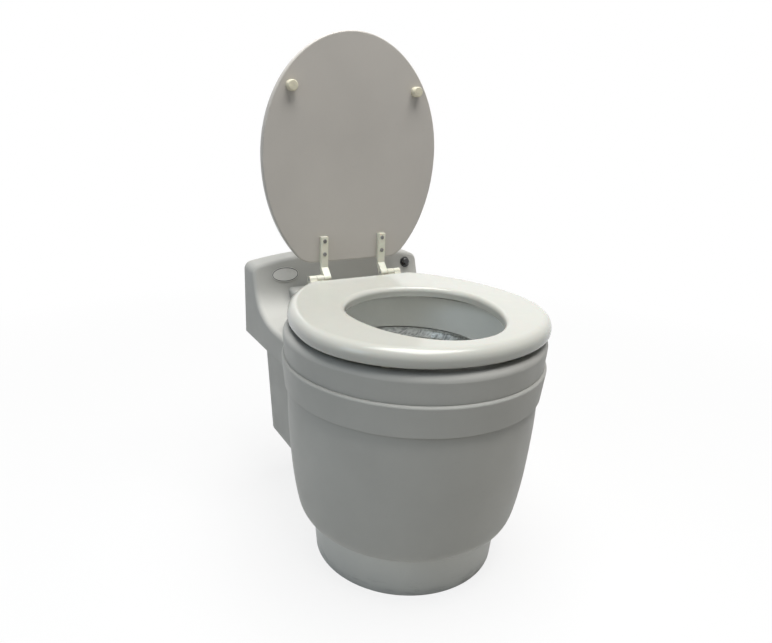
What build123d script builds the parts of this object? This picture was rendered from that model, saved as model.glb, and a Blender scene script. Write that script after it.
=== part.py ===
from build123d import *
import math
import os

os.makedirs("parts", exist_ok=True)

# A dry flush toilet, in millimetres. The origin is on the floor under the axis of the round body,
# +Z is up, and the front of the seat points along -Y.

# Clearances that every fit below is worked out from
fit_gap = 0.3
running_gap = 0.05
screw_gap = 0.15

# Moulded walls
wall = 4
rib = 3

# Rim ring, which the round body below it is drawn in from
rim_top_radius = 201.5
rim_draw = 2
rim_top_z = 384.4
rim_shoulder = 12
rim_skirt_depth = 6
gasket_width = 2.4
gasket_depth = 1.5

# Collar of the upper housing
collar_bottom_z = 294
collar_top_z = 341
collar_step = 4
collar_draw = 4.2
collar_round = 4
collar_lip = 29.5

# Round tub, as heights and as the draw of its wall from the collar down
tub_foot_z = 80
tub_foot_lean = 0.8
tub_low_z = 105
tub_middle_z = 155
tub_high_draw = 1
tub_middle_draw = 7
tub_low_draw = 14.5
tub_foot_draw = 23.5

# Plinth
plinth_step = 16.5
plinth_draw = 7
plinth_screw_inset = 21
plinth_screw_angles = (0, 90, 180, 270)
plinth_boss_radius = 6.5
plinth_screw_depth = 14
plinth_lip = 8
pad_radius = 12
pad_depth = 2
pad_inset = 30
pad_angles = (45, 135, 225, 315)

# Deck and backrest of the upper housing
deck_half = 168
deck_edge = 8
sweep_end_z = 392
sweep_setback = 57.3
sweep_lead = 96
backrest_lean = 17.6
backrest_depth = 52
crest_z = 440.5
crest_arch = 850
crest_corner = 15

# Rear box of the lower housing
rear_box_step = 28
rear_box_draw = 16
rear_box_bottom_z = 84
rear_box_front_y = 60
rear_box_setback = 9
rear_box_corner = 14
rear_box_edge = 10

# Shelf that carries the hinges
shelf_half = 106
shelf_top_z = 385
shelf_edge = 7

# Bowl insert, whose mouth and foot are circles on different centres
bowl_ledge = 17
bowl_mouth_y = -4
bowl_wall = 3
bowl_flange = 7
bowl_flange_depth = 2
bowl_lift = 1.5

# Turning parts under the bowl
drum_y = 12
drum_room = 6
film_edge_z = 330
gear_module = 4
pinion_teeth = 12
pressure_angle = 25
gear_addendum = 0.9
gear_dedendum = 1.2
gear_backlash = 0.12
gear_spread = 0.15
gear_height = 12
cartridge_step = 8
cartridge_width = 26
cartridge_cover_depth = 4
film_thickness = 1.2
film_sag = ((0.96, 0.91), (0.7, 0.67), (0.4, 0.44), (0.15, 0.21))
film_pack_room = 4
film_neck_radius = 12
film_neck_z = 214
film_tail_length = 20

# Support deck and glide ring
deck_plate_z = 232
deck_plate_depth = 8
deck_plate_lip = 18
deck_rear_room = 12
deck_rear_reach = 4
motor_tongue_half = 28
ledge_depth = 10
ledge_reach = 6
glide_depth = 10
glide_width = 20
tongue_width = 10
tongue_height = 2.5

# Gear motor
motor_radius = 18.5
motor_length = 50
motor_shaft_radius = 4
motor_shaft_depth = 16
motor_screw_ring = 13
motor_screw_radius = 1.5

# Collection bag
bag_draw = 12
bag_skin = 1.5
bag_lap = 2
bag_ring_width = 10
bag_ring_depth = 6

# Equipment in the rear box
battery_size = (151, 94, 65)
strap_width = 25
strap_skin = 1.5
tray_depth = 92
tray_sheet = 4
tray_clearance = 4
board_size = (70, 50, 1.6)
board_inset = 3
standoff_height = 6
standoff_radius = 3
standoff_inset = 6

# Blower and hose
blower_radius = 35
blower_height = 40
blower_side_gap = 1
blower_back_gap = 6
blower_skin = 2.5
blower_motor_radius = 17
blower_motor_height = 36
blower_wheel_gap = 3
blower_shaft_radius = 2
blower_blades = 12
blower_outlet_radius = 8
hose_radius = 8
hose_bore = 6
hose_rise = 32
hose_edge = 2
hose_bend = 20

# Back of the rear box
cover_half = 85
cover_height = 96
cover_rise = 14
cover_sheet = 2.5
cover_lap = 9
cover_screw_inset = 5
vent_slots = 5
vent_width = 36
vent_slot = 4
vent_pitch = 8
jack_rise = 13
jack_radius = 6
jack_flange_radius = 9
jack_flange = 2
jack_length = 17
jack_bore_radius = 2.8
jack_bore_depth = 10

# Seat and lid outlines
seat_half = 197
seat_nose = 173
seat_heel = 245
seat_cut = 214
seat_corner = 24
seat_top_z = 415.4
seat_depth = 25
seat_round_top = 16
seat_round_bottom = 5
hole_half = 114
hole_nose = 150
hole_heel = 103
hole_offset = 17
hole_round_top = 8
hole_lip = 16
hole_relief = 30
lid_half = 163.5
lid_nose = 196
lid_heel = 217
lid_cut = 180.8
lid_corner = 40
lid_depth = 13
lid_round = 4.5
lid_reach = 205.5
lid_stand = 12.6
lid_bumper_x = 115
lid_bumper_reach = 313
lid_bumper_radius = 8.5
seat_bumper_places = ((124, -129), (140, 90))
seat_bumper_radius = 9

# Hinges
hinge_spacing = 139.7
hinge_setback = 2.2
hinge_seat_gap = 14.7
hinge_z = 411.5
knuckle_width = 13
knuckle_gap = 0.4
knuckle_radius = 6
pin_radius = 2.5
arm_length = 70
arm_depth = 8
arm_relief = 2.8
leaf_length = 58
leaf_depth = 3.2
post_base_front = 9
post_base_back = 20
post_base_depth = 4
post_bolt_back = 6
post_bolt_radius = 4
post_bolt_length = 22
nut_radius = 9
nut_depth = 7
lid_screw_reaches = (39.9, 62.7)
seat_screw_reaches = (38, 51)

# Screws
screw_radius = 2
screw_head_radius = 3.4
screw_head = 1.5
screw_bite = 8
housing_screw_angles = (30, 150, 220, 320)
housing_boss_radius = 5.5
housing_boss_sink = 2
housing_boss_depth = 34

# Flush button and badge on the backrest
button_inset = 28
button_z = 410.4
button_radius = 7.5
button_dome = 4
button_proud = 1.5
button_depth = 6
button_stem_radius = 2.5
button_stem = 5
bezel_radius = 10
bezel_flange = 2
bezel_barrel_radius = 9
bezel_length = 16
button_nut_radius = 13
button_nut_depth = 4
switch_size = (12, 14, 12)
switch_plunger_radius = 1.5
switch_plunger = 1.5
badge_inset = 59.2
badge_z = 407.2
badge_half_width = 25.5
badge_half_height = 13.5
badge_depth = 1

# Radii of the round body, from the rim down
rim_bottom_radius = rim_top_radius - rim_draw
collar_top_radius = rim_bottom_radius + collar_step
collar_bottom_radius = collar_top_radius - collar_draw
collar_opening_radius = rim_bottom_radius - collar_lip
tub_top_radius = collar_bottom_radius - wall - fit_gap
tub_high_radius = tub_top_radius - tub_high_draw
tub_middle_radius = tub_top_radius - tub_middle_draw
tub_low_radius = tub_top_radius - tub_low_draw
tub_foot_radius = tub_top_radius - tub_foot_draw
plinth_top_radius = tub_foot_radius - plinth_step
plinth_foot_radius = plinth_top_radius - plinth_draw
plinth_screw_ring = plinth_top_radius - plinth_screw_inset
tub_opening_radius = plinth_screw_ring - plinth_lip
pad_ring = plinth_foot_radius - pad_inset
housing_screw_ring = tub_top_radius - wall - housing_boss_radius + housing_boss_sink
gasket_radius = rim_bottom_radius - wall / 2
bowl_mouth_radius = collar_opening_radius - bowl_ledge

# Depths, from the hinges back
hinge_y = rim_top_radius + hinge_setback
seat_back_y = hinge_y - hinge_seat_gap
seat_centre_y = seat_back_y - seat_cut
hole_centre_y = seat_centre_y + hole_offset
sweep_end_y = hinge_y + sweep_setback
sweep_start_y = sweep_end_y - sweep_lead
shelf_back_y = sweep_end_y + wall
deck_back_y = sweep_end_y + backrest_depth
deck_front_y = collar_bottom_radius / 2
deck_inner_front_y = deck_front_y + 3 * wall
rear_box_back_y = deck_back_y - rear_box_setback
rear_inner_y = rear_box_back_y - wall

# Heights
housing_top_z = collar_top_z - wall
plinth_top_z = tub_foot_z
tub_floor_z = tub_foot_z + wall
rear_floor_z = rear_box_bottom_z + wall
deck_plate_top_z = deck_plate_z + deck_plate_depth
tub_high_z = deck_plate_z + deck_plate_depth / 2
glide_top_z = deck_plate_top_z + glide_depth - fit_gap
carrier_z = deck_plate_top_z + glide_depth
carrier_top_z = carrier_z + gear_height
cartridge_top_z = film_edge_z - cartridge_cover_depth
bowl_foot_z = film_edge_z + bowl_lift
seat_bottom_z = seat_top_z - seat_depth

# Turning parts, as large as the tub takes
drum_reach = tub_high_radius - wall - drum_y - drum_room
ring_teeth = 2 * int(drum_reach / gear_module - gear_addendum)
ring_pitch_radius = gear_module * ring_teeth / 2
pinion_pitch_radius = gear_module * pinion_teeth / 2
pinion_y = drum_y + ring_pitch_radius + pinion_pitch_radius + gear_spread
cartridge_outer_radius = ring_pitch_radius - cartridge_step
cartridge_inner_radius = cartridge_outer_radius - cartridge_width
cover_inner_radius = cartridge_inner_radius - rib
bowl_foot_radius = cover_inner_radius
glide_radius = cartridge_outer_radius - glide_width / 2
deck_plate_radius = tub_high_radius - wall - 2 * fit_gap
deck_plate_opening = cartridge_inner_radius - deck_plate_lip
deck_rear_y = deck_plate_radius + deck_rear_reach
bag_mouth_radius = deck_plate_opening + bag_ring_width - bag_lap
bag_foot_radius = bag_mouth_radius - bag_draw

# Rear box and what it holds
rear_box_high_half = deck_half - rear_box_step
rear_box_low_half = rear_box_high_half - rear_box_draw
deck_rear_half = rear_box_low_half - deck_rear_room
floor_end_y = rear_inner_y - rear_box_edge + wall - fit_gap
battery_front_y = floor_end_y - battery_size[1]
tray_half = rear_box_low_half - rear_box_corner
tray_z = rear_floor_z + battery_size[2] + tray_clearance
tray_top_z = tray_z + tray_sheet
tray_front_y = floor_end_y - tray_depth
tray_middle_y = (tray_front_y + floor_end_y) / 2
board_x = board_size[0] / 2 + board_inset - tray_half
board_z = tray_top_z + standoff_height
blower_x = rear_box_low_half - wall - blower_side_gap - blower_radius
blower_y = rear_inner_y - blower_back_gap - blower_radius
blower_z = tray_top_z + blower_motor_height
blower_top_z = blower_z + blower_height
hose_port_y = deck_rear_y - hose_edge - hose_radius
cover_middle_z = rear_box_bottom_z + cover_rise + cover_height / 2
vent_middle_z = blower_z + blower_height / 2
jack_x = tray_half
jack_z = tray_top_z + jack_rise

# Hinges, lid, button and badge
post_x = hinge_spacing / 2
lean = math.radians(backrest_lean)
lid_offset = seat_top_z + lid_stand - hinge_z
lid_under_y = hinge_y + lid_offset
lid_bumper_height = lid_stand - fit_gap
lid_centre_z = hinge_z + lid_reach
button_x = deck_half - button_inset
badge_x = badge_inset - deck_half
drum_axis = Axis((0, drum_y, 0), (0, 0, 1))


def across(y):
    """A plane that faces the front, at depth y."""
    return Plane.XZ.offset(-y)


def side(x):
    """A plane that faces +X, at x, whose first direction is Y."""
    return Plane.YZ.offset(x)


def backrest_plane(x, z):
    """A plane on the straight part of the backrest's front face."""
    y = sweep_end_y + (z - sweep_end_z) * math.tan(lean)
    return Plane(origin=(x, y, z), x_dir=(1, 0, 0), z_dir=(0, -math.cos(lean), math.sin(lean)))


def ring_face(z, outer, inner, y=0):
    """A flat ring at height z."""
    with BuildSketch(Plane.XY.offset(z)) as face:
        with Locations((0, y)):
            Circle(outer)
            Circle(inner, mode=Mode.SUBTRACT)
    return face.sketch


def disc_faces(plane, radius, places):
    """Equal discs on a plane."""
    with BuildSketch(plane) as face:
        with Locations(*places):
            Circle(radius)
    return face.sketch


def polygon_face(plane, points):
    """A flat face with straight sides."""
    with BuildSketch(plane) as face:
        with BuildLine():
            Polyline(*points, close=True)
        make_face()
    return face.sketch


def ring_places(radius, angles, y=0):
    """Places on a circle, as X and Y."""
    turns = [math.radians(angle) for angle in angles]
    return [(radius * math.cos(turn), y + radius * math.sin(turn)) for turn in turns]


def corner_places(half_x, half_y, x=0, y=0):
    """The four corners of a rectangle."""
    return [(x + i * half_x, y + j * half_y) for i in (-1, 1) for j in (-1, 1)]


def tub_face(inset, bottom):
    """Half of the tub's section, from the axis out, drawn in by the inset."""
    foot = (tub_foot_radius - inset, bottom)
    shoulder = (tub_top_radius - inset, collar_bottom_z)
    passes = (
        (tub_low_radius - inset, tub_low_z),
        (tub_middle_radius - inset, tub_middle_z),
        (tub_high_radius - inset, tub_high_z),
    )
    with BuildSketch(Plane.XZ) as face:
        with BuildLine():
            Spline(foot, *passes, shoulder, tangents=((tub_foot_lean, 1), (0, 1)))
            Polyline(shoulder, (shoulder[0], housing_top_z), (0, housing_top_z), (0, bottom), foot)
        make_face()
    return face.sketch


def rear_box(inset):
    """The box behind the tub as a solid, drawn in by the inset, with rounded lower and back edges."""
    low = rear_box_low_half - inset
    high = rear_box_high_half - inset
    bottom = rear_box_bottom_z + inset
    with BuildPart() as box:
        with BuildSketch(across(rear_box_front_y)) as section:
            with BuildLine():
                corners = ((-low, bottom), (low, bottom), (high, housing_top_z), (-high, housing_top_z))
                Polyline(*corners, close=True)
            make_face()
            fillet(section.vertices().group_by(Axis.Y)[0], rear_box_corner - inset)
        extrude(amount=rear_box_front_y - rear_box_back_y + inset)
        back_edges = box.faces().sort_by(Axis.Y)[-1].edges()
        fillet(back_edges.sort_by(Axis.Z)[:-1], rear_box_edge - inset)
    return box.part


def deck_prism(inset, flat_end):
    """The deck and backrest as a solid, drawn in by the inset, rising from the deck at flat_end."""
    front = deck_front_y if inset == 0 else deck_inner_front_y
    level = collar_top_z - inset
    bottom = collar_bottom_z + inset
    back = deck_back_y - inset
    top = crest_z - inset
    end = (sweep_end_y + inset * math.cos(lean), sweep_end_z - inset * math.sin(lean))
    crest = (end[0] + (top - end[1]) * math.tan(lean), top)
    half = deck_half - inset
    arch = crest_arch - inset
    with BuildPart() as prism:
        with BuildSketch(side(-half)):
            with BuildLine():
                Polyline((back, top), (back, bottom), (front, bottom), (front, level), (flat_end, level))
                Spline((flat_end, level), end, tangents=((1, 0), (math.sin(lean), math.cos(lean))))
                Polyline(end, crest, (back, top))
            make_face()
        extrude(amount=2 * half)
        with BuildSketch(across(0)) as front_view:
            Rectangle(2 * half, top, align=(Align.CENTER, Align.MIN))
            with Locations((0, crest_z - crest_arch)):
                Circle(arch, mode=Mode.INTERSECT)
            fillet(front_view.vertices().group_by(Axis.Y)[-1], crest_corner - inset)
        extrude(amount=-2 * deck_back_y, mode=Mode.INTERSECT)
        if inset == 0:
            raised = prism.edges().filter_by(lambda edge: edge.center().Z > level - 1)
            forward = raised.filter_by(lambda edge: edge.center().Y < back - 1)
            seams = forward.filter_by(Axis.X) + forward.filter_by(Axis.Y).filter_by(
                lambda edge: edge.center().Z > level + 1
            )
            fillet(forward - seams, deck_edge)
    return prism.part


def egg_face(plane, half_width, nose, heel, cut, corner):
    """Two half ellipses of different length, the heel cut off straight with rounded corners."""
    with BuildSketch(plane) as egg:
        Ellipse(half_width, nose)
        with Locations((0, -nose)):
            Rectangle(3 * half_width, 2 * nose, mode=Mode.SUBTRACT)
        with BuildSketch(mode=Mode.PRIVATE) as heel_half:
            Ellipse(half_width, heel)
            with Locations((0, heel)):
                Rectangle(3 * half_width, 2 * heel, mode=Mode.SUBTRACT)
            if cut < heel:
                with Locations((0, -cut - heel)):
                    Rectangle(3 * half_width, 2 * heel, mode=Mode.SUBTRACT)
        add(heel_half.sketch)
        if cut < heel:
            fillet(egg.vertices().group_by(Axis.Y)[0], corner)
    return egg.sketch


def seat_plane(y, z):
    """A level plane whose second direction points to the front."""
    return Plane(origin=(0, y, z), x_dir=(-1, 0, 0), z_dir=(0, 0, 1))


def hole_face(z, reach):
    """The outline of the hole in the seat at height z, widened by the reach."""
    heel = hole_heel + reach
    return egg_face(seat_plane(hole_centre_y, z), hole_half + reach, hole_nose + reach, heel, heel, 0)


def tooth_half_angle(radius, pitch_radius, teeth):
    """Half of an involute tooth's angle at a radius, less the backlash."""
    pressure = math.radians(pressure_angle)
    base_radius = pitch_radius * math.cos(pressure)
    local = math.acos(min(1, base_radius / radius))
    rolled = math.tan(pressure) - pressure - math.tan(local) + local
    return math.pi / (2 * teeth) - gear_backlash / pitch_radius + rolled


def gear_points(teeth, centre_y, first_angle):
    """The outline of a spur gear, one tooth after the other, with a tooth at first_angle."""
    pitch_radius = gear_module * teeth / 2
    root = pitch_radius - gear_dedendum * gear_module
    tip = pitch_radius + gear_addendum * gear_module
    base = max(root, pitch_radius * math.cos(math.radians(pressure_angle)))
    radii = sorted({root, base, pitch_radius, tip})
    points = []
    for tooth in range(teeth):
        middle = math.radians(first_angle + 360 * tooth / teeth)
        flank = [(radius, tooth_half_angle(radius, pitch_radius, teeth)) for radius in radii]
        turns = [(radius, middle - half) for radius, half in flank]
        turns += [(radius, middle + half) for radius, half in reversed(flank)]
        points += [(r * math.cos(turn), centre_y + r * math.sin(turn)) for r, turn in turns]
    return points


# Plinth
with BuildPart() as plinth:
    plinth_section = (
        (0, 0),
        (plinth_foot_radius, 0),
        (plinth_top_radius, plinth_top_z),
        (plinth_top_radius - wall, plinth_top_z),
        (plinth_foot_radius - wall, wall),
        (0, wall),
    )
    revolve(polygon_face(Plane.XZ, plinth_section), axis=Axis.Z)
    plinth_bosses = ring_places(plinth_screw_ring, plinth_screw_angles)
    extrude(disc_faces(Plane.XY, plinth_boss_radius, plinth_bosses), amount=plinth_top_z)
    extrude(
        disc_faces(Plane.XY, screw_head_radius + 1, plinth_bosses),
        amount=plinth_top_z - plinth_screw_depth,
        mode=Mode.SUBTRACT,
    )
    extrude(
        disc_faces(Plane.XY, screw_radius + screw_gap, plinth_bosses),
        amount=plinth_top_z,
        mode=Mode.SUBTRACT,
    )
    pad_places = ring_places(pad_ring, pad_angles)
    extrude(disc_faces(Plane.XY, pad_radius, pad_places), amount=pad_depth, mode=Mode.SUBTRACT)

with BuildPart() as anti_slip_pads:
    extrude(disc_faces(Plane.XY, pad_radius - fit_gap, pad_places), amount=pad_depth)

with BuildPart() as plinth_screws:
    plinth_head_z = plinth_top_z - plinth_screw_depth
    extrude(disc_faces(Plane.XY.offset(plinth_head_z), screw_head_radius, plinth_bosses), amount=-screw_head)
    extrude(
        disc_faces(Plane.XY.offset(plinth_head_z - screw_head), screw_radius, plinth_bosses),
        amount=screw_head + plinth_screw_depth + wall,
    )

# Lower housing
ledge_outer = tub_high_radius - wall / 2
ledge_inner = deck_plate_radius - ledge_reach
housing_bosses = ring_places(housing_screw_ring, housing_screw_angles)
cover_screw_places = corner_places(
    cover_half - cover_screw_inset, cover_height / 2 - cover_screw_inset, 0, cover_middle_z
)
vent_offsets = [(slot - (vent_slots - 1) / 2) * vent_pitch for slot in range(vent_slots)]

with BuildPart() as lower_housing:
    revolve(tub_face(0, tub_foot_z), axis=Axis.Z)
    add(rear_box(0))
    revolve(tub_face(wall, tub_floor_z), axis=Axis.Z, mode=Mode.SUBTRACT)
    ledge_section = (
        (ledge_inner, deck_plate_z),
        (ledge_outer, deck_plate_z),
        (ledge_outer, deck_plate_z - ledge_depth),
    )
    revolve(polygon_face(Plane.XZ, ledge_section), axis=Axis.Z)
    add(rear_box(wall), mode=Mode.SUBTRACT)
    extrude(
        disc_faces(Plane.XY.offset(housing_top_z), housing_boss_radius, housing_bosses),
        amount=-housing_boss_depth,
    )
    extrude(
        disc_faces(Plane.XY.offset(housing_top_z), screw_radius + screw_gap, housing_bosses),
        amount=-screw_bite - 1,
        mode=Mode.SUBTRACT,
    )
    extrude(
        disc_faces(Plane.XY.offset(tub_foot_z), tub_opening_radius, [(0, 0)]),
        amount=wall,
        mode=Mode.SUBTRACT,
    )
    extrude(
        disc_faces(Plane.XY.offset(tub_foot_z), screw_radius + screw_gap, plinth_bosses),
        amount=wall,
        mode=Mode.SUBTRACT,
    )
    with BuildSketch(across(rear_box_back_y)):
        with Locations((0, cover_middle_z)):
            Rectangle(2 * (cover_half - cover_lap), cover_height - 2 * cover_lap)
        with Locations((jack_x, jack_z)):
            Circle(jack_radius + screw_gap)
        with Locations(*cover_screw_places):
            Circle(screw_radius + screw_gap)
        with Locations(*[(blower_x, vent_middle_z + offset) for offset in vent_offsets]):
            SlotOverall(vent_width, vent_slot)
    extrude(amount=wall, mode=Mode.SUBTRACT)

# Upper housing
recess_radius = rim_top_radius + 2 * fit_gap

with BuildPart() as upper_housing:
    add(deck_prism(0, sweep_start_y))
    with BuildSketch(Plane.XY.offset(collar_top_z)):
        with Locations((0, (sweep_start_y + shelf_back_y) / 2)):
            Rectangle(2 * shelf_half, shelf_back_y - sweep_start_y)
    extrude(amount=shelf_top_z - collar_top_z)
    shelf_sides = upper_housing.edges().filter_by(Axis.Y).filter_by_position(
        Axis.Z, shelf_top_z - 1, shelf_top_z + 1
    )
    fillet(shelf_sides, shelf_edge)
    with BuildSketch(Plane.XZ):
        with BuildLine():
            Polyline(
                (collar_top_radius, collar_top_z - collar_round),
                (collar_bottom_radius, collar_bottom_z),
                (0, collar_bottom_z),
                (0, collar_top_z),
                (collar_top_radius - collar_round, collar_top_z),
            )
            JernArc(
                (collar_top_radius - collar_round, collar_top_z), (1, 0), collar_round, -90
            )
        make_face()
    revolve(axis=Axis.Z)
    add(deck_prism(wall, recess_radius + wall), mode=Mode.SUBTRACT)
    with BuildSketch(Plane.XY.offset(housing_top_z)):
        with Locations((0, (sweep_start_y + shelf_back_y) / 2)):
            Rectangle(2 * (shelf_half - wall), shelf_back_y - sweep_start_y)
        Circle(recess_radius + wall, mode=Mode.SUBTRACT)
    extrude(amount=shelf_top_z - wall - housing_top_z, mode=Mode.SUBTRACT)
    revolve(tub_face(-fit_gap, tub_foot_z), axis=Axis.Z, mode=Mode.SUBTRACT)
    add(rear_box(-fit_gap), mode=Mode.SUBTRACT)
    extrude(
        disc_faces(Plane.XY.offset(collar_top_z), recess_radius, [(0, 0)]),
        amount=shelf_top_z,
        mode=Mode.SUBTRACT,
    )
    extrude(
        disc_faces(Plane.XY.offset(housing_top_z), collar_opening_radius, [(0, 0)]),
        amount=wall,
        mode=Mode.SUBTRACT,
    )
    extrude(
        ring_face(collar_top_z, gasket_radius + gasket_width / 2, gasket_radius - gasket_width / 2),
        amount=-gasket_depth,
        mode=Mode.SUBTRACT,
    )
    extrude(
        disc_faces(Plane.XY.offset(collar_top_z), screw_radius + screw_gap, housing_bosses),
        amount=-wall,
        mode=Mode.SUBTRACT,
    )
    extrude(
        disc_faces(
            Plane.XY.offset(shelf_top_z),
            post_bolt_radius + screw_gap,
            [(-post_x, hinge_y + post_bolt_back), (post_x, hinge_y + post_bolt_back)],
        ),
        amount=-wall,
        mode=Mode.SUBTRACT,
    )
    extrude(
        disc_faces(backrest_plane(button_x, button_z), bezel_barrel_radius + screw_gap, [(0, 0)]),
        amount=-2 * wall,
        mode=Mode.SUBTRACT,
    )

with BuildPart() as housing_screws:
    extrude(disc_faces(Plane.XY.offset(collar_top_z), screw_head_radius, housing_bosses), amount=screw_head)
    extrude(
        disc_faces(Plane.XY.offset(collar_top_z), screw_radius, housing_bosses),
        amount=-wall - screw_bite,
    )

# Rim ring and its gasket
with BuildPart() as rim_gasket:
    extrude(
        ring_face(
            collar_top_z,
            gasket_radius + gasket_width / 2 - running_gap,
            gasket_radius - gasket_width / 2 + running_gap,
        ),
        amount=-gasket_depth,
    )

rim_under_z = rim_top_z - wall
skirt_radius = collar_opening_radius - fit_gap
bowl_flange_radius = bowl_mouth_radius + bowl_wall + bowl_flange
with BuildPart() as rim_ring:
    with BuildSketch(Plane.XZ):
        with BuildLine():
            shoulder_z = rim_top_z - rim_shoulder
            Line((rim_bottom_radius, collar_top_z), (rim_top_radius, shoulder_z))
            JernArc((rim_top_radius, shoulder_z), (0, 1), rim_shoulder, 90)
            Polyline(
                (rim_top_radius - rim_shoulder, rim_top_z),
                (0, rim_top_z),
                (0, rim_under_z),
                (rim_top_radius - rim_shoulder, rim_under_z),
            )
            JernArc((rim_top_radius - rim_shoulder, rim_under_z), (1, 0), rim_shoulder - wall, -90)
            Polyline(
                (rim_top_radius - wall, shoulder_z),
                (rim_bottom_radius - wall, collar_top_z),
                (rim_bottom_radius, collar_top_z),
            )
        make_face()
    revolve(axis=Axis.Z)
    extrude(
        ring_face(collar_top_z - rim_skirt_depth, skirt_radius, skirt_radius - rib),
        amount=rim_under_z - collar_top_z + rim_skirt_depth,
    )
    extrude(
        disc_faces(
            Plane.XY.offset(rim_top_z), bowl_mouth_radius + bowl_wall + fit_gap, [(0, bowl_mouth_y)]
        ),
        amount=-wall,
        mode=Mode.SUBTRACT,
    )
    extrude(
        disc_faces(Plane.XY.offset(rim_top_z), bowl_flange_radius + fit_gap, [(0, bowl_mouth_y)]),
        amount=-bowl_flange_depth,
        mode=Mode.SUBTRACT,
    )

# Bowl insert
bowl_flange_z = rim_top_z - bowl_flange_depth
with BuildPart() as bowl_insert:
    with BuildSketch(Plane.XY.offset(bowl_foot_z)):
        with Locations((0, drum_y)):
            Circle(bowl_foot_radius + bowl_wall)
    with BuildSketch(Plane.XY.offset(bowl_flange_z)):
        with Locations((0, bowl_mouth_y)):
            Circle(bowl_mouth_radius + bowl_wall)
    loft()
    extrude(
        disc_faces(Plane.XY.offset(bowl_flange_z), bowl_flange_radius, [(0, bowl_mouth_y)]),
        amount=bowl_flange_depth,
    )
    with BuildSketch(Plane.XY.offset(bowl_foot_z)):
        with Locations((0, drum_y)):
            Circle(bowl_foot_radius)
    with BuildSketch(Plane.XY.offset(rim_top_z)):
        with Locations((0, bowl_mouth_y)):
            Circle(bowl_mouth_radius)
    loft(mode=Mode.SUBTRACT)

# Film liner, its cartridge and the carrier ring that turns them
with BuildPart() as film_liner:
    film_top = cover_inner_radius - fit_gap
    neck = (film_neck_radius, film_neck_z)
    film_start_z = cartridge_top_z + 1
    sag = [
        (
            film_neck_radius + across_share * (film_top - film_neck_radius),
            film_neck_z + rise_share * (film_start_z - film_neck_z),
        )
        for across_share, rise_share in film_sag
    ]
    outer_line = [(film_top, film_edge_z), (film_top, film_start_z), *sag, neck]
    outer_line += [(film_neck_radius, film_neck_z - film_tail_length), (0, film_neck_z - film_tail_length)]
    inner_line = [(0, film_neck_z + film_thickness)]
    inner_line += [(r - film_thickness, z + film_thickness) for r, z in (neck, *reversed(sag))]
    inner_line += [(film_top - film_thickness, film_start_z), (film_top - film_thickness, film_edge_z)]
    revolve(polygon_face(Plane.XZ.offset(-drum_y), outer_line + inner_line), axis=drum_axis)

with BuildPart() as cartridge_cover:
    extrude(
        ring_face(cartridge_top_z, cartridge_outer_radius, cover_inner_radius, drum_y),
        amount=cartridge_cover_depth,
    )

with BuildPart() as film_cartridge:
    extrude(
        ring_face(carrier_top_z, cartridge_outer_radius, cartridge_inner_radius, drum_y),
        amount=cartridge_top_z - carrier_top_z,
    )
    extrude(
        ring_face(
            carrier_top_z + rib, cartridge_outer_radius - rib, cartridge_inner_radius + rib, drum_y
        ),
        amount=cartridge_top_z - carrier_top_z,
        mode=Mode.SUBTRACT,
    )

with BuildPart() as film_pack:
    extrude(
        ring_face(
            carrier_top_z + rib + fit_gap,
            cartridge_outer_radius - rib - fit_gap,
            cartridge_inner_radius + rib + fit_gap,
            drum_y,
        ),
        amount=cartridge_top_z - carrier_top_z - rib - film_pack_room,
    )

with BuildPart() as carrier_ring:
    extrude(
        polygon_face(Plane.XY.offset(carrier_z), gear_points(ring_teeth, drum_y, 90)),
        amount=gear_height,
    )
    extrude(
        disc_faces(Plane.XY.offset(carrier_z), cartridge_inner_radius, [(0, drum_y)]),
        amount=gear_height,
        mode=Mode.SUBTRACT,
    )
    extrude(
        ring_face(carrier_z, glide_radius + tongue_width / 2, glide_radius - tongue_width / 2, drum_y),
        amount=tongue_height + fit_gap,
        mode=Mode.SUBTRACT,
    )

with BuildPart() as glide_ring:
    extrude(
        ring_face(
            deck_plate_top_z, glide_radius + glide_width / 2, glide_radius - glide_width / 2, drum_y
        ),
        amount=glide_top_z - deck_plate_top_z,
    )
    extrude(
        ring_face(
            glide_top_z,
            glide_radius + tongue_width / 2 - running_gap,
            glide_radius - tongue_width / 2 + running_gap,
            drum_y,
        ),
        amount=tongue_height,
    )

# Support deck, gear motor and pinion
motor_screw_places = ring_places(motor_screw_ring, pad_angles, pinion_y)
hose_port = (blower_x, hose_port_y)
with BuildPart() as support_deck:
    with BuildSketch(Plane.XY.offset(deck_plate_z)):
        Circle(deck_plate_radius)
        with Locations((0, deck_rear_y / 2)):
            Rectangle(2 * deck_rear_half, deck_rear_y)
        with Locations((0, (pinion_y + motor_tongue_half) / 2)):
            Rectangle(2 * motor_tongue_half, pinion_y + motor_tongue_half)
        Circle(deck_plate_opening, mode=Mode.SUBTRACT)
        with Locations((0, pinion_y)):
            Circle(motor_shaft_radius + fit_gap, mode=Mode.SUBTRACT)
        with Locations(*motor_screw_places):
            Circle(motor_screw_radius + screw_gap, mode=Mode.SUBTRACT)
        with Locations(hose_port):
            Circle(hose_bore, mode=Mode.SUBTRACT)
    extrude(amount=deck_plate_depth)

with BuildPart() as drive_motor:
    extrude(
        disc_faces(Plane.XY.offset(deck_plate_z), motor_radius, [(0, pinion_y)]), amount=-motor_length
    )
    extrude(
        disc_faces(Plane.XY.offset(deck_plate_z), motor_shaft_radius + running_gap, [(0, pinion_y)]),
        amount=-motor_shaft_depth - fit_gap,
        mode=Mode.SUBTRACT,
    )
    extrude(
        disc_faces(Plane.XY.offset(deck_plate_z), motor_screw_radius + running_gap, motor_screw_places),
        amount=-screw_bite - fit_gap,
        mode=Mode.SUBTRACT,
    )

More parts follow.
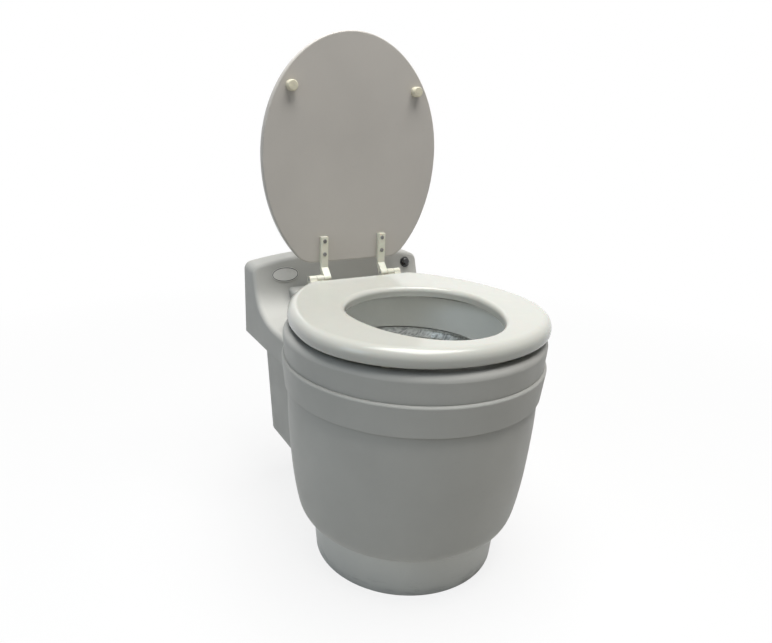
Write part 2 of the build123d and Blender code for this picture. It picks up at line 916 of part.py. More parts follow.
with BuildPart() as motor_shaft:
    extrude(
        disc_faces(Plane.XY.offset(deck_plate_z - motor_shaft_depth), motor_shaft_radius, [(0, pinion_y)]),
        amount=motor_shaft_depth + carrier_top_z - deck_plate_z,
    )

with BuildPart() as motor_screws:
    extrude(
        disc_faces(Plane.XY.offset(deck_plate_top_z), 2 * motor_screw_radius, motor_screw_places),
        amount=screw_head,
    )
    extrude(
        disc_faces(Plane.XY.offset(deck_plate_top_z), motor_screw_radius, motor_screw_places),
        amount=-deck_plate_depth - screw_bite,
    )

with BuildPart() as drive_pinion:
    pinion_tooth = 270 + 180 / pinion_teeth
    extrude(
        polygon_face(Plane.XY.offset(carrier_z), gear_points(pinion_teeth, pinion_y, pinion_tooth)),
        amount=gear_height,
    )
    extrude(
        disc_faces(Plane.XY.offset(carrier_z), motor_shaft_radius, [(0, pinion_y)]),
        amount=gear_height,
        mode=Mode.SUBTRACT,
    )

# Collection bag under the deck
with BuildPart() as collection_bag:
    bag_foot_z = wall + fit_gap
    bag_top_z = deck_plate_z - bag_ring_depth - fit_gap
    bag_section = (
        (0, bag_foot_z),
        (bag_foot_radius, bag_foot_z),
        (bag_mouth_radius, bag_top_z),
        (bag_mouth_radius - bag_skin, bag_top_z),
        (bag_foot_radius - bag_skin, bag_foot_z + bag_skin),
        (0, bag_foot_z + bag_skin),
    )
    revolve(polygon_face(Plane.XZ, bag_section), axis=Axis.Z)

with BuildPart() as bag_ring:
    extrude(
        ring_face(
            deck_plate_z - bag_ring_depth, deck_plate_opening + bag_ring_width, deck_plate_opening
        ),
        amount=bag_ring_depth,
    )

# Battery, strap and equipment tray in the rear box
battery_y = battery_front_y + battery_size[1] / 2
with BuildPart() as battery:
    with BuildSketch(Plane.XY.offset(rear_floor_z)):
        with Locations((0, battery_y)):
            RectangleRounded(battery_size[0], battery_size[1], 3)
    extrude(amount=battery_size[2])

with BuildPart() as battery_strap:
    with BuildSketch(across(battery_y - strap_width / 2)):
        strap_half = battery_size[0] / 2 + fit_gap
        strap_height = battery_size[2] + fit_gap
        with Locations((0, rear_floor_z + (strap_height + strap_skin) / 2)):
            Rectangle(2 * (strap_half + strap_skin), strap_height + strap_skin)
        with Locations((0, rear_floor_z + strap_height / 2)):
            Rectangle(2 * strap_half, strap_height, mode=Mode.SUBTRACT)
    extrude(amount=-strap_width)

with BuildPart() as equipment_tray:
    with BuildSketch(across(tray_front_y)):
        tray_height = tray_top_z - rear_floor_z
        with Locations((0, rear_floor_z + tray_height / 2)):
            Rectangle(2 * tray_half, tray_height)
        with Locations((0, rear_floor_z + (tray_height - tray_sheet) / 2)):
            Rectangle(2 * (tray_half - tray_sheet), tray_height - tray_sheet, mode=Mode.SUBTRACT)
    extrude(amount=-tray_depth)

# Control board on its standoffs
standoff_places = corner_places(
    board_size[0] / 2 - standoff_inset, board_size[1] / 2 - standoff_inset, board_x, tray_middle_y
)
with BuildPart() as board_standoffs:
    extrude(
        disc_faces(Plane.XY.offset(tray_top_z), standoff_radius, standoff_places),
        amount=standoff_height,
    )

board_parts = (((-14, 4), (18, 16, 14)), ((12, 10), (20, 12, 9)), ((12, -12), (24, 14, 3)))
with BuildPart() as control_board:
    with BuildSketch(Plane.XY.offset(board_z)):
        with Locations((board_x, tray_middle_y)):
            Rectangle(board_size[0], board_size[1])
    extrude(amount=board_size[2])
    for (part_x, part_y), (part_width, part_length, part_height) in board_parts:
        with BuildSketch(Plane.XY.offset(board_z + board_size[2])):
            with Locations((board_x + part_x, tray_middle_y + part_y)):
                Rectangle(part_width, part_length)
        extrude(amount=part_height)

# Blower
blower_inside = blower_radius - blower_skin
wheel_radius = blower_inside - blower_wheel_gap
wheel_z = blower_z + blower_skin + blower_wheel_gap
wheel_height = blower_height - 2 * (blower_skin + blower_wheel_gap)
blower_place = [(blower_x, blower_y)]
with BuildPart() as blower_motor:
    extrude(
        disc_faces(Plane.XY.offset(tray_top_z), blower_motor_radius, blower_place),
        amount=blower_motor_height,
    )
    extrude(
        disc_faces(Plane.XY.offset(blower_z), blower_shaft_radius + running_gap, blower_place),
        amount=-blower_motor_height / 2 - fit_gap,
        mode=Mode.SUBTRACT,
    )

with BuildPart() as blower_housing:
    extrude(disc_faces(Plane.XY.offset(blower_z), blower_radius, blower_place), amount=blower_height)
    with BuildSketch(across(blower_y)):
        with Locations((blower_x, blower_z + blower_height / 2)):
            Circle(blower_outlet_radius)
    extrude(amount=blower_y - rear_inner_y + fit_gap)
    extrude(
        disc_faces(Plane.XY.offset(blower_z + blower_skin), blower_inside, blower_place),
        amount=blower_height - 2 * blower_skin,
        mode=Mode.SUBTRACT,
    )
    with BuildSketch(across(blower_y)):
        with Locations((blower_x, blower_z + blower_height / 2)):
            Circle(blower_outlet_radius - blower_skin)
    extrude(amount=blower_y - rear_inner_y, mode=Mode.SUBTRACT)
    extrude(
        disc_faces(Plane.XY.offset(blower_top_z), hose_bore, blower_place),
        amount=-blower_skin,
        mode=Mode.SUBTRACT,
    )
    extrude(
        disc_faces(Plane.XY.offset(blower_z), blower_shaft_radius + fit_gap, blower_place),
        amount=blower_skin,
        mode=Mode.SUBTRACT,
    )

with BuildPart() as blower_wheel:
    extrude(disc_faces(Plane.XY.offset(wheel_z), wheel_radius, blower_place), amount=blower_skin)
    with BuildSketch(Plane.XY.offset(wheel_z)):
        with Locations((blower_x, blower_y)):
            Circle(2 * blower_shaft_radius)
            with PolarLocations(wheel_radius * 0.7, blower_blades):
                Rectangle(wheel_radius * 0.5, blower_skin / 2)
    extrude(amount=wheel_height)
    extrude(
        disc_faces(Plane.XY.offset(wheel_z), blower_shaft_radius, blower_place),
        amount=blower_z - wheel_z - blower_motor_height / 2,
    )

hose_top_z = blower_top_z + hose_rise
with BuildPart() as vacuum_hose:
    with BuildLine() as hose_line:
        FilletPolyline(
            (blower_x, blower_y, blower_top_z),
            (blower_x, blower_y, hose_top_z),
            (*hose_port, hose_top_z),
            (*hose_port, deck_plate_top_z),
            radius=hose_bend,
        )
    with BuildSketch(Plane.XY.offset(blower_top_z)):
        with Locations((blower_x, blower_y)):
            Circle(hose_radius)
            Circle(hose_bore, mode=Mode.SUBTRACT)
    sweep(path=hose_line.wires()[0])

# Back of the rear box
with BuildPart() as rear_cover:
    with BuildSketch(across(rear_box_back_y)):
        with Locations((0, cover_middle_z)):
            RectangleRounded(2 * cover_half, cover_height, cover_lap)
        with Locations(*cover_screw_places):
            Circle(screw_radius + screw_gap, mode=Mode.SUBTRACT)
    extrude(amount=-cover_sheet)

with BuildPart() as rear_cover_screws:
    cover_face = across(rear_box_back_y + cover_sheet)
    extrude(disc_faces(cover_face, screw_head_radius, cover_screw_places), amount=-screw_head)
    extrude(disc_faces(cover_face, screw_radius, cover_screw_places), amount=cover_sheet + wall)

with BuildPart() as power_jack:
    jack_place = [(jack_x, jack_z)]
    extrude(disc_faces(across(rear_box_back_y), jack_flange_radius, jack_place), amount=-jack_flange)
    extrude(disc_faces(across(rear_box_back_y), jack_radius, jack_place), amount=jack_length)
    extrude(
        disc_faces(across(rear_box_back_y + jack_flange), jack_bore_radius, jack_place),
        amount=jack_bore_depth,
        mode=Mode.SUBTRACT,
    )

# Flush button, its bezel, nut and switch
button_face = backrest_plane(button_x, button_z)
with BuildPart() as button_bezel:
    extrude(disc_faces(button_face, bezel_radius, [(0, 0)]), amount=bezel_flange)
    fillet(button_bezel.edges().sort_by(Axis.Y)[0], bezel_flange / 2)
    extrude(disc_faces(button_face, bezel_barrel_radius, [(0, 0)]), amount=-bezel_length)
    extrude(
        disc_faces(button_face.offset(bezel_flange), button_radius + running_gap, [(0, 0)]),
        amount=-bezel_flange - bezel_length,
        mode=Mode.SUBTRACT,
    )

with BuildPart() as flush_button:
    cap_height = button_depth + bezel_flange + button_proud + button_dome
    extrude(disc_faces(button_face.offset(-button_depth), button_radius, [(0, 0)]), amount=cap_height)
    fillet(flush_button.edges().sort_by(Axis.Y)[0], button_dome)
    extrude(disc_faces(button_face.offset(-button_depth), button_stem_radius, [(0, 0)]), amount=-button_stem)

with BuildPart() as button_nut:
    with BuildSketch(button_face.offset(-wall)):
        RegularPolygon(button_nut_radius, 6)
        Circle(bezel_barrel_radius + running_gap, mode=Mode.SUBTRACT)
    extrude(amount=-button_nut_depth)

with BuildPart() as button_switch:
    with BuildSketch(button_face.offset(-bezel_length)):
        Rectangle(switch_size[0], switch_size[1])
    extrude(amount=-switch_size[2])
    extrude(
        disc_faces(button_face.offset(-bezel_length), switch_plunger_radius, [(0, 0)]),
        amount=switch_plunger,
    )

with BuildPart() as badge_plate:
    with BuildSketch(backrest_plane(badge_x, badge_z)):
        Ellipse(badge_half_width, badge_half_height)
    extrude(amount=badge_depth)

# Seat ring and its bumpers
with BuildPart() as seat_ring:
    seat_outline = egg_face(
        seat_plane(seat_centre_y, seat_bottom_z), seat_half, seat_nose, seat_heel, seat_cut, seat_corner
    )
    extrude(seat_outline, amount=seat_depth)
    fillet(seat_ring.edges().group_by(Axis.Z)[-1], seat_round_top)
    fillet(seat_ring.edges().group_by(Axis.Z)[0], seat_round_bottom)
    extrude(hole_face(seat_bottom_z, 0), amount=seat_depth, mode=Mode.SUBTRACT)
    hole_edges = seat_ring.faces().sort_by(Axis.Z)[-1].inner_wires()[0].edges()
    fillet(hole_edges, hole_round_top)
    with BuildSketch(Plane.XY.offset(seat_bottom_z)):
        add(hole_face(seat_bottom_z, hole_relief))
    with BuildSketch(Plane.XY.offset(seat_top_z - hole_lip)):
        add(hole_face(seat_top_z - hole_lip, 0))
    loft(mode=Mode.SUBTRACT)
    leaf_screw_places = [
        (i * (post_x + knuckle_width + knuckle_gap), hinge_y - reach)
        for i in (-1, 1)
        for reach in seat_screw_reaches
    ]
    extrude(
        disc_faces(Plane.XY.offset(seat_bottom_z), screw_radius + screw_gap, leaf_screw_places),
        amount=screw_bite + 1,
        mode=Mode.SUBTRACT,
    )

with BuildPart() as seat_bumpers:
    bumper_places = [(i * x, y) for x, y in seat_bumper_places for i in (-1, 1)]
    extrude(
        disc_faces(Plane.XY.offset(seat_bottom_z), seat_bumper_radius, bumper_places),
        amount=rim_top_z + fit_gap - seat_bottom_z,
    )

# Lid and its bumpers, made in the open position
lid_plane = Plane(origin=(0, lid_under_y, lid_centre_z), x_dir=(1, 0, 0), z_dir=(0, -1, 0))
arm_x = post_x - knuckle_width - knuckle_gap
arm_screw_places = [(i * arm_x, hinge_z + reach) for i in (-1, 1) for reach in lid_screw_reaches]
with BuildPart() as lid:
    extrude(egg_face(lid_plane, lid_half, lid_nose, lid_heel, lid_cut, lid_corner), amount=-lid_depth)
    fillet(lid.edges().group_by(Axis.Y)[-1], lid_round)
    fillet(lid.edges().group_by(Axis.Y)[0], lid_round / 2)
    extrude(
        disc_faces(across(lid_under_y), screw_radius + screw_gap, arm_screw_places),
        amount=-screw_bite - 1,
        mode=Mode.SUBTRACT,
    )

with BuildPart() as lid_bumpers:
    lid_bumper_places = [(i * lid_bumper_x, hinge_z + lid_bumper_reach) for i in (-1, 1)]
    extrude(
        disc_faces(across(lid_under_y), lid_bumper_radius, lid_bumper_places), amount=lid_bumper_height
    )
    fillet(lid_bumpers.edges().group_by(Axis.Y)[0], 2)

# Hinge outlines, as Y and Z from the pin
crank = math.radians(35)
knuckle_low = (knuckle_radius * math.cos(crank), -knuckle_radius * math.sin(crank))
knuckle_high = (-knuckle_low[0], -knuckle_low[1])
arm_front = lid_offset - arm_depth
heel_reach = lid_reach - lid_cut
arm_outline = (
    (arm_front, arm_length),
    (lid_offset, arm_length),
    (lid_offset, heel_reach + 2),
    (lid_offset - arm_relief, heel_reach - 3),
    (lid_offset - arm_relief, 2 * knuckle_radius + 1),
    knuckle_low,
    knuckle_high,
    (arm_front, 3 * knuckle_radius - 1),
)
seat_under = seat_bottom_z - hinge_z
leaf_front = hinge_y - seat_back_y - 2
leaf_outline = (
    (-leaf_length, seat_under),
    (-leaf_length, seat_under - leaf_depth),
    (-knuckle_radius, seat_under - leaf_depth),
    (knuckle_radius - 2, -2 * knuckle_radius),
    (knuckle_radius - 0.5, -1.5),
    (-knuckle_radius + 0.5, 1.5),
    (-leaf_front, -2 * knuckle_radius + 2),
    (-leaf_front, seat_under),
)
post_foot = shelf_top_z - hinge_z
post_outline = (
    (-post_base_front, post_foot),
    (post_base_back, post_foot),
    (post_base_back, post_foot + post_base_depth),
    (post_base_back / 2, post_foot + post_base_depth + 2),
    (knuckle_radius - 0.5, -1.5),
    (-knuckle_radius + 0.5, 1.5),
    (-post_base_front, post_foot + post_base_depth),
)


def hinge_leaf(x, outline):
    """One third of a hinge: a flat outline as thick as a knuckle, with its barrel and pin hole."""
    with BuildPart() as leaf:
        with BuildSketch(side(x - knuckle_width / 2)):
            with BuildLine():
                Polyline(*[(hinge_y + y, hinge_z + z) for y, z in outline], close=True)
            make_face()
            with Locations((hinge_y, hinge_z)):
                Circle(knuckle_radius)
                Circle(pin_radius + running_gap, mode=Mode.SUBTRACT)
        extrude(amount=knuckle_width)
    return leaf.part


def lid_arm(i):
    """The arm that carries the lid, on side i."""
    with BuildPart() as arm:
        add(hinge_leaf(i * arm_x, arm_outline))
        places = [(i * arm_x, hinge_z + reach) for reach in lid_screw_reaches]
        extrude(
            disc_faces(across(lid_under_y), screw_radius + screw_gap, places),
            amount=arm_depth,
            mode=Mode.SUBTRACT,
        )
    return arm


def seat_leaf(i):
    """The leaf under the seat, on side i."""
    with BuildPart() as leaf:
        add(hinge_leaf(i * (post_x + knuckle_width + knuckle_gap), leaf_outline))
        places = [(x, y) for x, y in leaf_screw_places if x * i > 0]
        extrude(
            disc_faces(Plane.XY.offset(seat_bottom_z), screw_radius + screw_gap, places),
            amount=-leaf_depth,
            mode=Mode.SUBTRACT,
        )
    return leaf


def hinge_post(i):
    """The post on the shelf, with the bolt moulded into it, on side i."""
    with BuildPart() as post:
        add(hinge_leaf(i * post_x, post_outline))
        place = [(i * post_x, hinge_y + post_bolt_back)]
        extrude(disc_faces(Plane.XY.offset(shelf_top_z), post_bolt_radius, place), amount=-post_bolt_length)
    return post


def hinge_pin(i):
    """The pin through the three knuckles, on side i."""
    pin_length = 3 * knuckle_width + 2 * knuckle_gap
    with BuildPart() as pin:
        pin_end = side(i * post_x - pin_length / 2)
        extrude(disc_faces(pin_end, pin_radius, [(hinge_y, hinge_z)]), amount=pin_length)
    return pin


with BuildPart() as hinge_nuts:
    with BuildSketch(Plane.XY.offset(shelf_top_z - wall)):
        with Locations(*[(i * post_x, hinge_y + post_bolt_back) for i in (-1, 1)]):
            RegularPolygon(nut_radius, 6)
            Circle(post_bolt_radius + running_gap, mode=Mode.SUBTRACT)
    extrude(amount=-nut_depth)

with BuildPart() as lid_screws:
    arm_face = across(lid_under_y - arm_depth)
    extrude(disc_faces(arm_face, screw_head_radius, arm_screw_places), amount=screw_head)
    extrude(disc_faces(arm_face, screw_radius, arm_screw_places), amount=-arm_depth - screw_bite)

with BuildPart() as seat_screws:
    leaf_face = Plane.XY.offset(seat_bottom_z - leaf_depth)
    extrude(disc_faces(leaf_face, screw_head_radius, leaf_screw_places), amount=-screw_head)
    extrude(disc_faces(leaf_face, screw_radius, leaf_screw_places), amount=leaf_depth + screw_bite)

pieces = {
    "plinth": plinth,
    "anti_slip_pads": anti_slip_pads,
    "plinth_screws": plinth_screws,
    "lower_housing": lower_housing,
    "upper_housing": upper_housing,
    "housing_screws": housing_screws,
    "rim_gasket": rim_gasket,
    "rim_ring": rim_ring,
    "bowl_insert": bowl_insert,
    "film_liner": film_liner,
    "cartridge_cover": cartridge_cover,
    "film_cartridge": film_cartridge,
    "film_pack": film_pack,
    "carrier_ring": carrier_ring,
    "glide_ring": glide_ring,
    "support_deck": support_deck,
    "drive_motor": drive_motor,
    "motor_shaft": motor_shaft,
    "motor_screws": motor_screws,
    "drive_pinion": drive_pinion,
    "collection_bag": collection_bag,
    "bag_ring": bag_ring,
    "battery": battery,
    "battery_strap": battery_strap,
    "equipment_tray": equipment_tray,
    "board_standoffs": board_standoffs,
    "control_board": control_board,
    "blower_motor": blower_motor,
    "blower_housing": blower_housing,
    "blower_wheel": blower_wheel,
    "vacuum_hose": vacuum_hose,
    "rear_cover": rear_cover,
    "rear_cover_screws": rear_cover_screws,
    "power_jack": power_jack,
    "button_bezel": button_bezel,
    "flush_button": flush_button,
    "button_nut": button_nut,
    "button_switch": button_switch,
    "badge_plate": badge_plate,
    "seat_ring": seat_ring,
    "seat_bumpers": seat_bumpers,
    "lid": lid,
    "lid_bumpers": lid_bumpers,
    "hinge_nuts": hinge_nuts,
    "lid_screws": lid_screws,
    "seat_screws": seat_screws,
}
for side_name, i in (("left", -1), ("right", 1)):
    pieces[f"{side_name}_lid_arm"] = lid_arm(i)
    pieces[f"{side_name}_seat_leaf"] = seat_leaf(i)
    pieces[f"{side_name}_hinge_post"] = hinge_post(i)
    pieces[f"{side_name}_hinge_pin"] = hinge_pin(i)

for name, piece in pieces.items():
    piece.part.label = name
    export_step(piece.part, f"parts/{name}.step")
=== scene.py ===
"""A dry flush toilet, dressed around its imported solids. Every size is in metres."""

import logging
import math
from collections.abc import Callable, Iterable, Sequence
from dataclasses import dataclass, field
from enum import Enum

import bmesh
import bpy
import numpy as np
from mathutils import Matrix, Vector


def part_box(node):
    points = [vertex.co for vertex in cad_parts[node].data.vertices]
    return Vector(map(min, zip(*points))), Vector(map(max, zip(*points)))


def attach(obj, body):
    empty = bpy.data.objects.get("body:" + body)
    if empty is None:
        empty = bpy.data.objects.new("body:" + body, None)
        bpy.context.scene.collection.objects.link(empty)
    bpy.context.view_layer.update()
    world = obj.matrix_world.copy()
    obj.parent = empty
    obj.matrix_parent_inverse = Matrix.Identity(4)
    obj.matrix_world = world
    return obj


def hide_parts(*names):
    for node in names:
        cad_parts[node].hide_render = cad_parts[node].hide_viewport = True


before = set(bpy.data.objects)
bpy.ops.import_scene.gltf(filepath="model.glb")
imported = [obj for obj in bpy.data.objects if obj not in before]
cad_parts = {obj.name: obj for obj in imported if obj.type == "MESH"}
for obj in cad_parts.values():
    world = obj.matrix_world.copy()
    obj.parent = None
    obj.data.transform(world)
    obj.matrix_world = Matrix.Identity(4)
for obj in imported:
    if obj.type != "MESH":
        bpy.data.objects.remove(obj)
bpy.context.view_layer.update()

LOG = logging.getLogger("dry_flush_toilet")
Colour = tuple[float, float, float]
Point = tuple[float, float, float]


class Body(Enum):
    """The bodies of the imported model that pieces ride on."""

    BODY = "body"
    LID = "lid"
    SEAT = "seat"
    DRUM = "drum"


def linear(colour: Colour) -> tuple[float, float, float, float]:
    """Turn a colour as the eye names it into the light it stands for.

    Args:
        colour: Red, green and blue from 0 to 1, as on a screen.

    Returns:
        The same colour in linear light, with full cover.
    """
    parts = [c / 12.92 if c <= 0.04045 else ((c + 0.055) / 1.055) ** 2.4 for c in colour]
    return (parts[0], parts[1], parts[2], 1.0)


def shade(colour: Colour, factor: float) -> Colour:
    """Darken or lighten a colour.

    Args:
        colour: The colour to start from.
        factor: Below 1 for darker, above 1 for lighter.

    Returns:
        The new colour, held between 0 and 1.
    """
    red, green, blue = (max(0.0, min(1.0, c * factor)) for c in colour)
    return (red, green, blue)


class Graph:
    """The shader nodes of one material."""

    def __init__(self, name: str) -> None:
        """Start a material with an empty tree.

        Args:
            name: The material's name.
        """
        self.material = bpy.data.materials.new(name)
        self.material.use_nodes = True
        self.tree = self.material.node_tree
        self.tree.nodes.clear()
        self.place = self.node("ShaderNodeTexCoord").outputs["Object"]

    def node(self, kind: str, inputs: dict | None = None, **settings: object) -> bpy.types.Node:
        """Add one node.

        Args:
            kind: The node's type.
            inputs: Socket name or number to a value or to another node's output.
            settings: The node's own properties.

        Returns:
            The new node.
        """
        made = self.tree.nodes.new(kind)
        for key, value in settings.items():
            setattr(made, key, value)
        for socket, value in (inputs or {}).items():
            if isinstance(value, bpy.types.NodeSocket):
                self.tree.links.new(value, made.inputs[socket])
            else:
                made.inputs[socket].default_value = value
        return made

    def noise(
        self,
        scale: float,
        detail: float = 3.0,
        roughness: float = 0.5,
        distortion: float = 0.0,
        vector: bpy.types.NodeSocket | None = None,
    ) -> bpy.types.NodeSocket:
        """Add cloudy noise.

        Args:
            scale: How many clouds there are in a metre.
            detail: How many finer layers lie on top.
            roughness: How strong the finer layers are.
            distortion: How far the clouds are bent.
            vector: Where it is read, the piece's own place if left out.

        Returns:
            The noise, about 0.5.
        """
        inputs = {
            "Vector": vector or self.place,
            "Scale": scale,
            "Detail": detail,
            "Roughness": roughness,
            "Distortion": distortion,
        }
        return self.node("ShaderNodeTexNoise", inputs).outputs[0]

    def stretched(self, scale: Point, turn: Point = (0.0, 0.0, 0.0)) -> bpy.types.NodeSocket:
        """Stretch and turn the piece's own place, for streaks.

        Args:
            scale: How much denser it gets along each axis.
            turn: Rotation about each axis, in radians.

        Returns:
            The place to read a texture at.
        """
        inputs = {"Vector": self.place, "Scale": scale, "Rotation": turn}
        return self.node("ShaderNodeMapping", inputs).outputs[0]

    def remap(
        self, value: bpy.types.NodeSocket, low: float, high: float, to_low: float, to_high: float
    ) -> bpy.types.NodeSocket:
        """Move a value from one range to another, held at the ends.

        Args:
            value: The value to move.
            low: Where the old range starts.
            high: Where the old range ends.
            to_low: Where the new range starts.
            to_high: Where the new range ends.

        Returns:
            The moved value.
        """
        inputs = {
            "Value": value,
            "From Min": low,
            "From Max": high,
            "To Min": to_low,
            "To Max": to_high,
        }
        return self.node("ShaderNodeMapRange", inputs).outputs[0]

    def math(self, operation: str, first: object, second: object = 0.0) -> bpy.types.NodeSocket:
        """Do one sum.

        Args:
            operation: The sum's name.
            first: The first number or output.
            second: The second number or output.

        Returns:
            The result.
        """
        return self.node("ShaderNodeMath", {0: first, 1: second}, operation=operation).outputs[0]

    def mix(self, factor: object, first: object, second: object) -> bpy.types.NodeSocket:
        """Mix two colours.

        Args:
            factor: How much of the second there is.
            first: The colour under it.
            second: The colour on top.

        Returns:
            The mixed colour.
        """
        made = self.node("ShaderNodeMix", {0: factor, 6: first, 7: second}, data_type="RGBA")
        return made.outputs[2]

    def crease(self, reach: float) -> bpy.types.NodeSocket:
        """Find inner corners.

        Args:
            reach: How far from a corner it still counts.

        Returns:
            0 in the open and near 1 in a tight corner.
        """
        hidden = self.node("ShaderNodeAmbientOcclusion", {"Distance": reach}, samples=6)
        return self.math("SUBTRACT", 1.0, hidden.outputs["AO"])

    def bump(
        self, height: bpy.types.NodeSocket, depth: float, under: bpy.types.NodeSocket | None = None
    ) -> bpy.types.NodeSocket:
        """Raise a surface by a height.

        Args:
            height: The height, from 0 to 1.
            depth: How high 1 stands.
            under: The surface's direction before it, if not its own.

        Returns:
            The new direction of the surface.
        """
        inputs = {"Height": height, "Distance": depth, "Strength": 1.0}
        if under is not None:
            inputs["Normal"] = under
        return self.node("ShaderNodeBump", inputs).outputs[0]

    def soft_edge(self, radius: float) -> bpy.types.NodeSocket:
        """Round the outer edges a little for the light.

        Args:
            radius: The radius of the rounding.

        Returns:
            The direction of the rounded surface.
        """
        return self.node("ShaderNodeBevel", {"Radius": radius}, samples=4).outputs[0]

    def surface(self, inputs: dict) -> bpy.types.Material:
        """Close the material with its shader.

        Args:
            inputs: Socket name to value or output, for the shader.

        Returns:
            The finished material.
        """
        shader = self.node("ShaderNodeBsdfPrincipled", inputs)
        output = self.node("ShaderNodeOutputMaterial")
        self.tree.links.new(shader.outputs[0], output.inputs[0])
        return self.material


@dataclass(frozen=True)
class Finish:
    """A finish's name and its colour, as on a screen."""

    name: str
    colour: Colour

    def material(self) -> bpy.types.Material:
        """Make the finish as a material.

        Returns:
            The material.
        """
        raise NotImplementedError


@dataclass(frozen=True)
class MouldedPlastic(Finish):
    """Moulded plastic: slight drift of colour, fine grain, painted shade in its corners and worn
    spots.
    """

    roughness: float = 0.42
    drift: float = 0.025
    grain: float = 0.00003
    grain_scale: float = 1100.0
    wave: float = 0.0005
    wave_scale: float = 9.0
    coat: float = 0.0
    edge: float = 0.0012
    # The next two set the painted shade in inner corners and seams: how dark it gets and how far it
    # reaches.
    painted_shade: float = 0.35
    painted_shade_reach: float = 0.016
    scuff_top: float = 0.0
    scuff_scale: Point = (38.0, 38.0, 130.0)
    scatter: float = 0.0
    specular: float = 0.5

    def material(self) -> bpy.types.Material:
        """Make the plastic.

        Returns:
            The material.
        """
        graph = Graph(self.name)
        cloud = graph.remap(graph.noise(6.0, 4.0), 0.3, 0.7, 0.0, 1.0)
        darker, lighter = shade(self.colour, 1 - self.drift), shade(self.colour, 1 + self.drift)
        base = graph.mix(cloud, linear(darker), linear(lighter))
        speck = graph.remap(graph.noise(420.0, 2.0), 0.66, 0.78, 0.0, 0.25)
        base = graph.mix(speck, base, linear(shade(self.colour, 0.86)))
        # Painted shade: the colour darkens in inner corners and seams, where shade falls.
        corner = graph.math("MULTIPLY", graph.crease(self.painted_shade_reach), self.painted_shade)
        base = graph.mix(corner, base, linear(shade(self.colour, 0.42)))
        smear = graph.remap(graph.noise(34.0, 5.0, 0.6, 0.8), 0.35, 0.7, -0.05, 0.07)
        rough = graph.math("ADD", smear, self.roughness)
        if self.scuff_top > 0:
            height = graph.node("ShaderNodeSeparateXYZ", {0: graph.place}).outputs["Z"]
            low = graph.remap(height, 0.0, self.scuff_top, 1.0, 0.0)
            streak = graph.noise(1.0, 4.0, 0.65, 0.4, graph.stretched(self.scuff_scale))
            scuff = graph.math("MULTIPLY", low, graph.remap(streak, 0.52, 0.68, 0.0, 0.4))
            base = graph.mix(scuff, base, linear(shade(self.colour, 0.6)))
            rough = graph.math("ADD", rough, graph.math("MULTIPLY", scuff, 0.3))
        flow = graph.bump(graph.noise(self.wave_scale, 2.0), self.wave, graph.soft_edge(self.edge))
        normal = graph.bump(graph.noise(self.grain_scale, 2.0), self.grain, flow)
        inputs = {
            "Base Color": base,
            "Roughness": rough,
            "Normal": normal,
            "Specular IOR Level": self.specular,
            "Coat Weight": self.coat,
            "Coat Roughness": 0.08,
            "Subsurface Weight": self.scatter,
            "Subsurface Scale": 0.004,
        }
        return graph.surface(inputs)


@dataclass(frozen=True)
class Metal(Finish):
    """Bare metal with lines from the tool that cut or rolled it."""

    roughness: float = 0.32
    line_scale: Point = (900.0, 900.0, 40.0)
    edge: float = 0.0004

    def material(self) -> bpy.types.Material:
        """Make the metal.

        Returns:
            The material.
        """
        graph = Graph(self.name)
        line = graph.noise(1.0, 3.0, 0.6, 0.0, graph.stretched(self.line_scale))
        cloud = graph.remap(graph.noise(60.0, 3.0), 0.35, 0.65, 0.0, 1.0)
        base = graph.mix(cloud, linear(shade(self.colour, 0.86)), linear(shade(self.colour, 1.06)))
        # Painted shade: the colour darkens in inner corners, where shade falls.
        corner = graph.math("MULTIPLY", graph.crease(0.004), 0.6)
        base = graph.mix(corner, base, linear(shade(self.colour, 0.3)))
        rough = graph.remap(line, 0.3, 0.7, self.roughness - 0.08, self.roughness + 0.1)
        normal = graph.bump(line, 0.00002, graph.soft_edge(self.edge))
        return graph.surface(
            {"Base Color": base, "Metallic": 1.0, "Roughness": rough, "Normal": normal}
        )


@dataclass(frozen=True)
class Foil(Finish):
    """Metallised film: bright, thin and creased all over."""

    roughness: float = 0.34
    metallic: float = 0.85
    crease_scale: float = 85.0
    crease_depth: float = 0.0011
    streak_scale: Point = (26.0, 150.0, 90.0)
    streak_turn: float = 0.62

    def material(self) -> bpy.types.Material:
        """Make the film.

        Returns:
            The material.
        """
        graph = Graph(self.name)
        bent = graph.noise(24.0, 3.0, 0.6)
        streak = graph.stretched(self.streak_scale, (0.0, 0.0, self.streak_turn))
        shard = graph.node(
            "ShaderNodeTexVoronoi",
            {"Vector": graph.place, "Scale": self.crease_scale, "Randomness": 1.0},
            feature="F1",
        )
        wrinkle = graph.noise(1.0, 4.0, 0.6, 0.3, streak)
        ridge = graph.math("ABSOLUTE", graph.math("SUBTRACT", wrinkle, 0.5))
        height = graph.math("ADD", graph.math("MULTIPLY", shard.outputs["Distance"], 0.5), ridge)
        height = graph.math("ADD", height, graph.math("MULTIPLY", bent, 0.8))
        # Painted highlights and shade: the film's colour is lighter along its crease lines and
        # darker between them.
        base = graph.mix(
            graph.remap(ridge, 0.0, 0.16, 1.0, 0.0),
            linear(shade(self.colour, 0.74)),
            linear(shade(self.colour, 1.12)),
        )
        # Painted shade: the film darkens in inner corners, where shade falls.
        corner = graph.math("MULTIPLY", graph.crease(0.008), 0.55)
        base = graph.mix(corner, base, linear(shade(self.colour, 0.25)))
        rough = graph.remap(bent, 0.3, 0.7, self.roughness - 0.08, self.roughness + 0.12)
        inputs = {
            "Base Color": base,
            "Metallic": self.metallic,
            "Roughness": rough,
            "Normal": graph.bump(height, self.crease_depth),
        }
        return graph.surface(inputs)


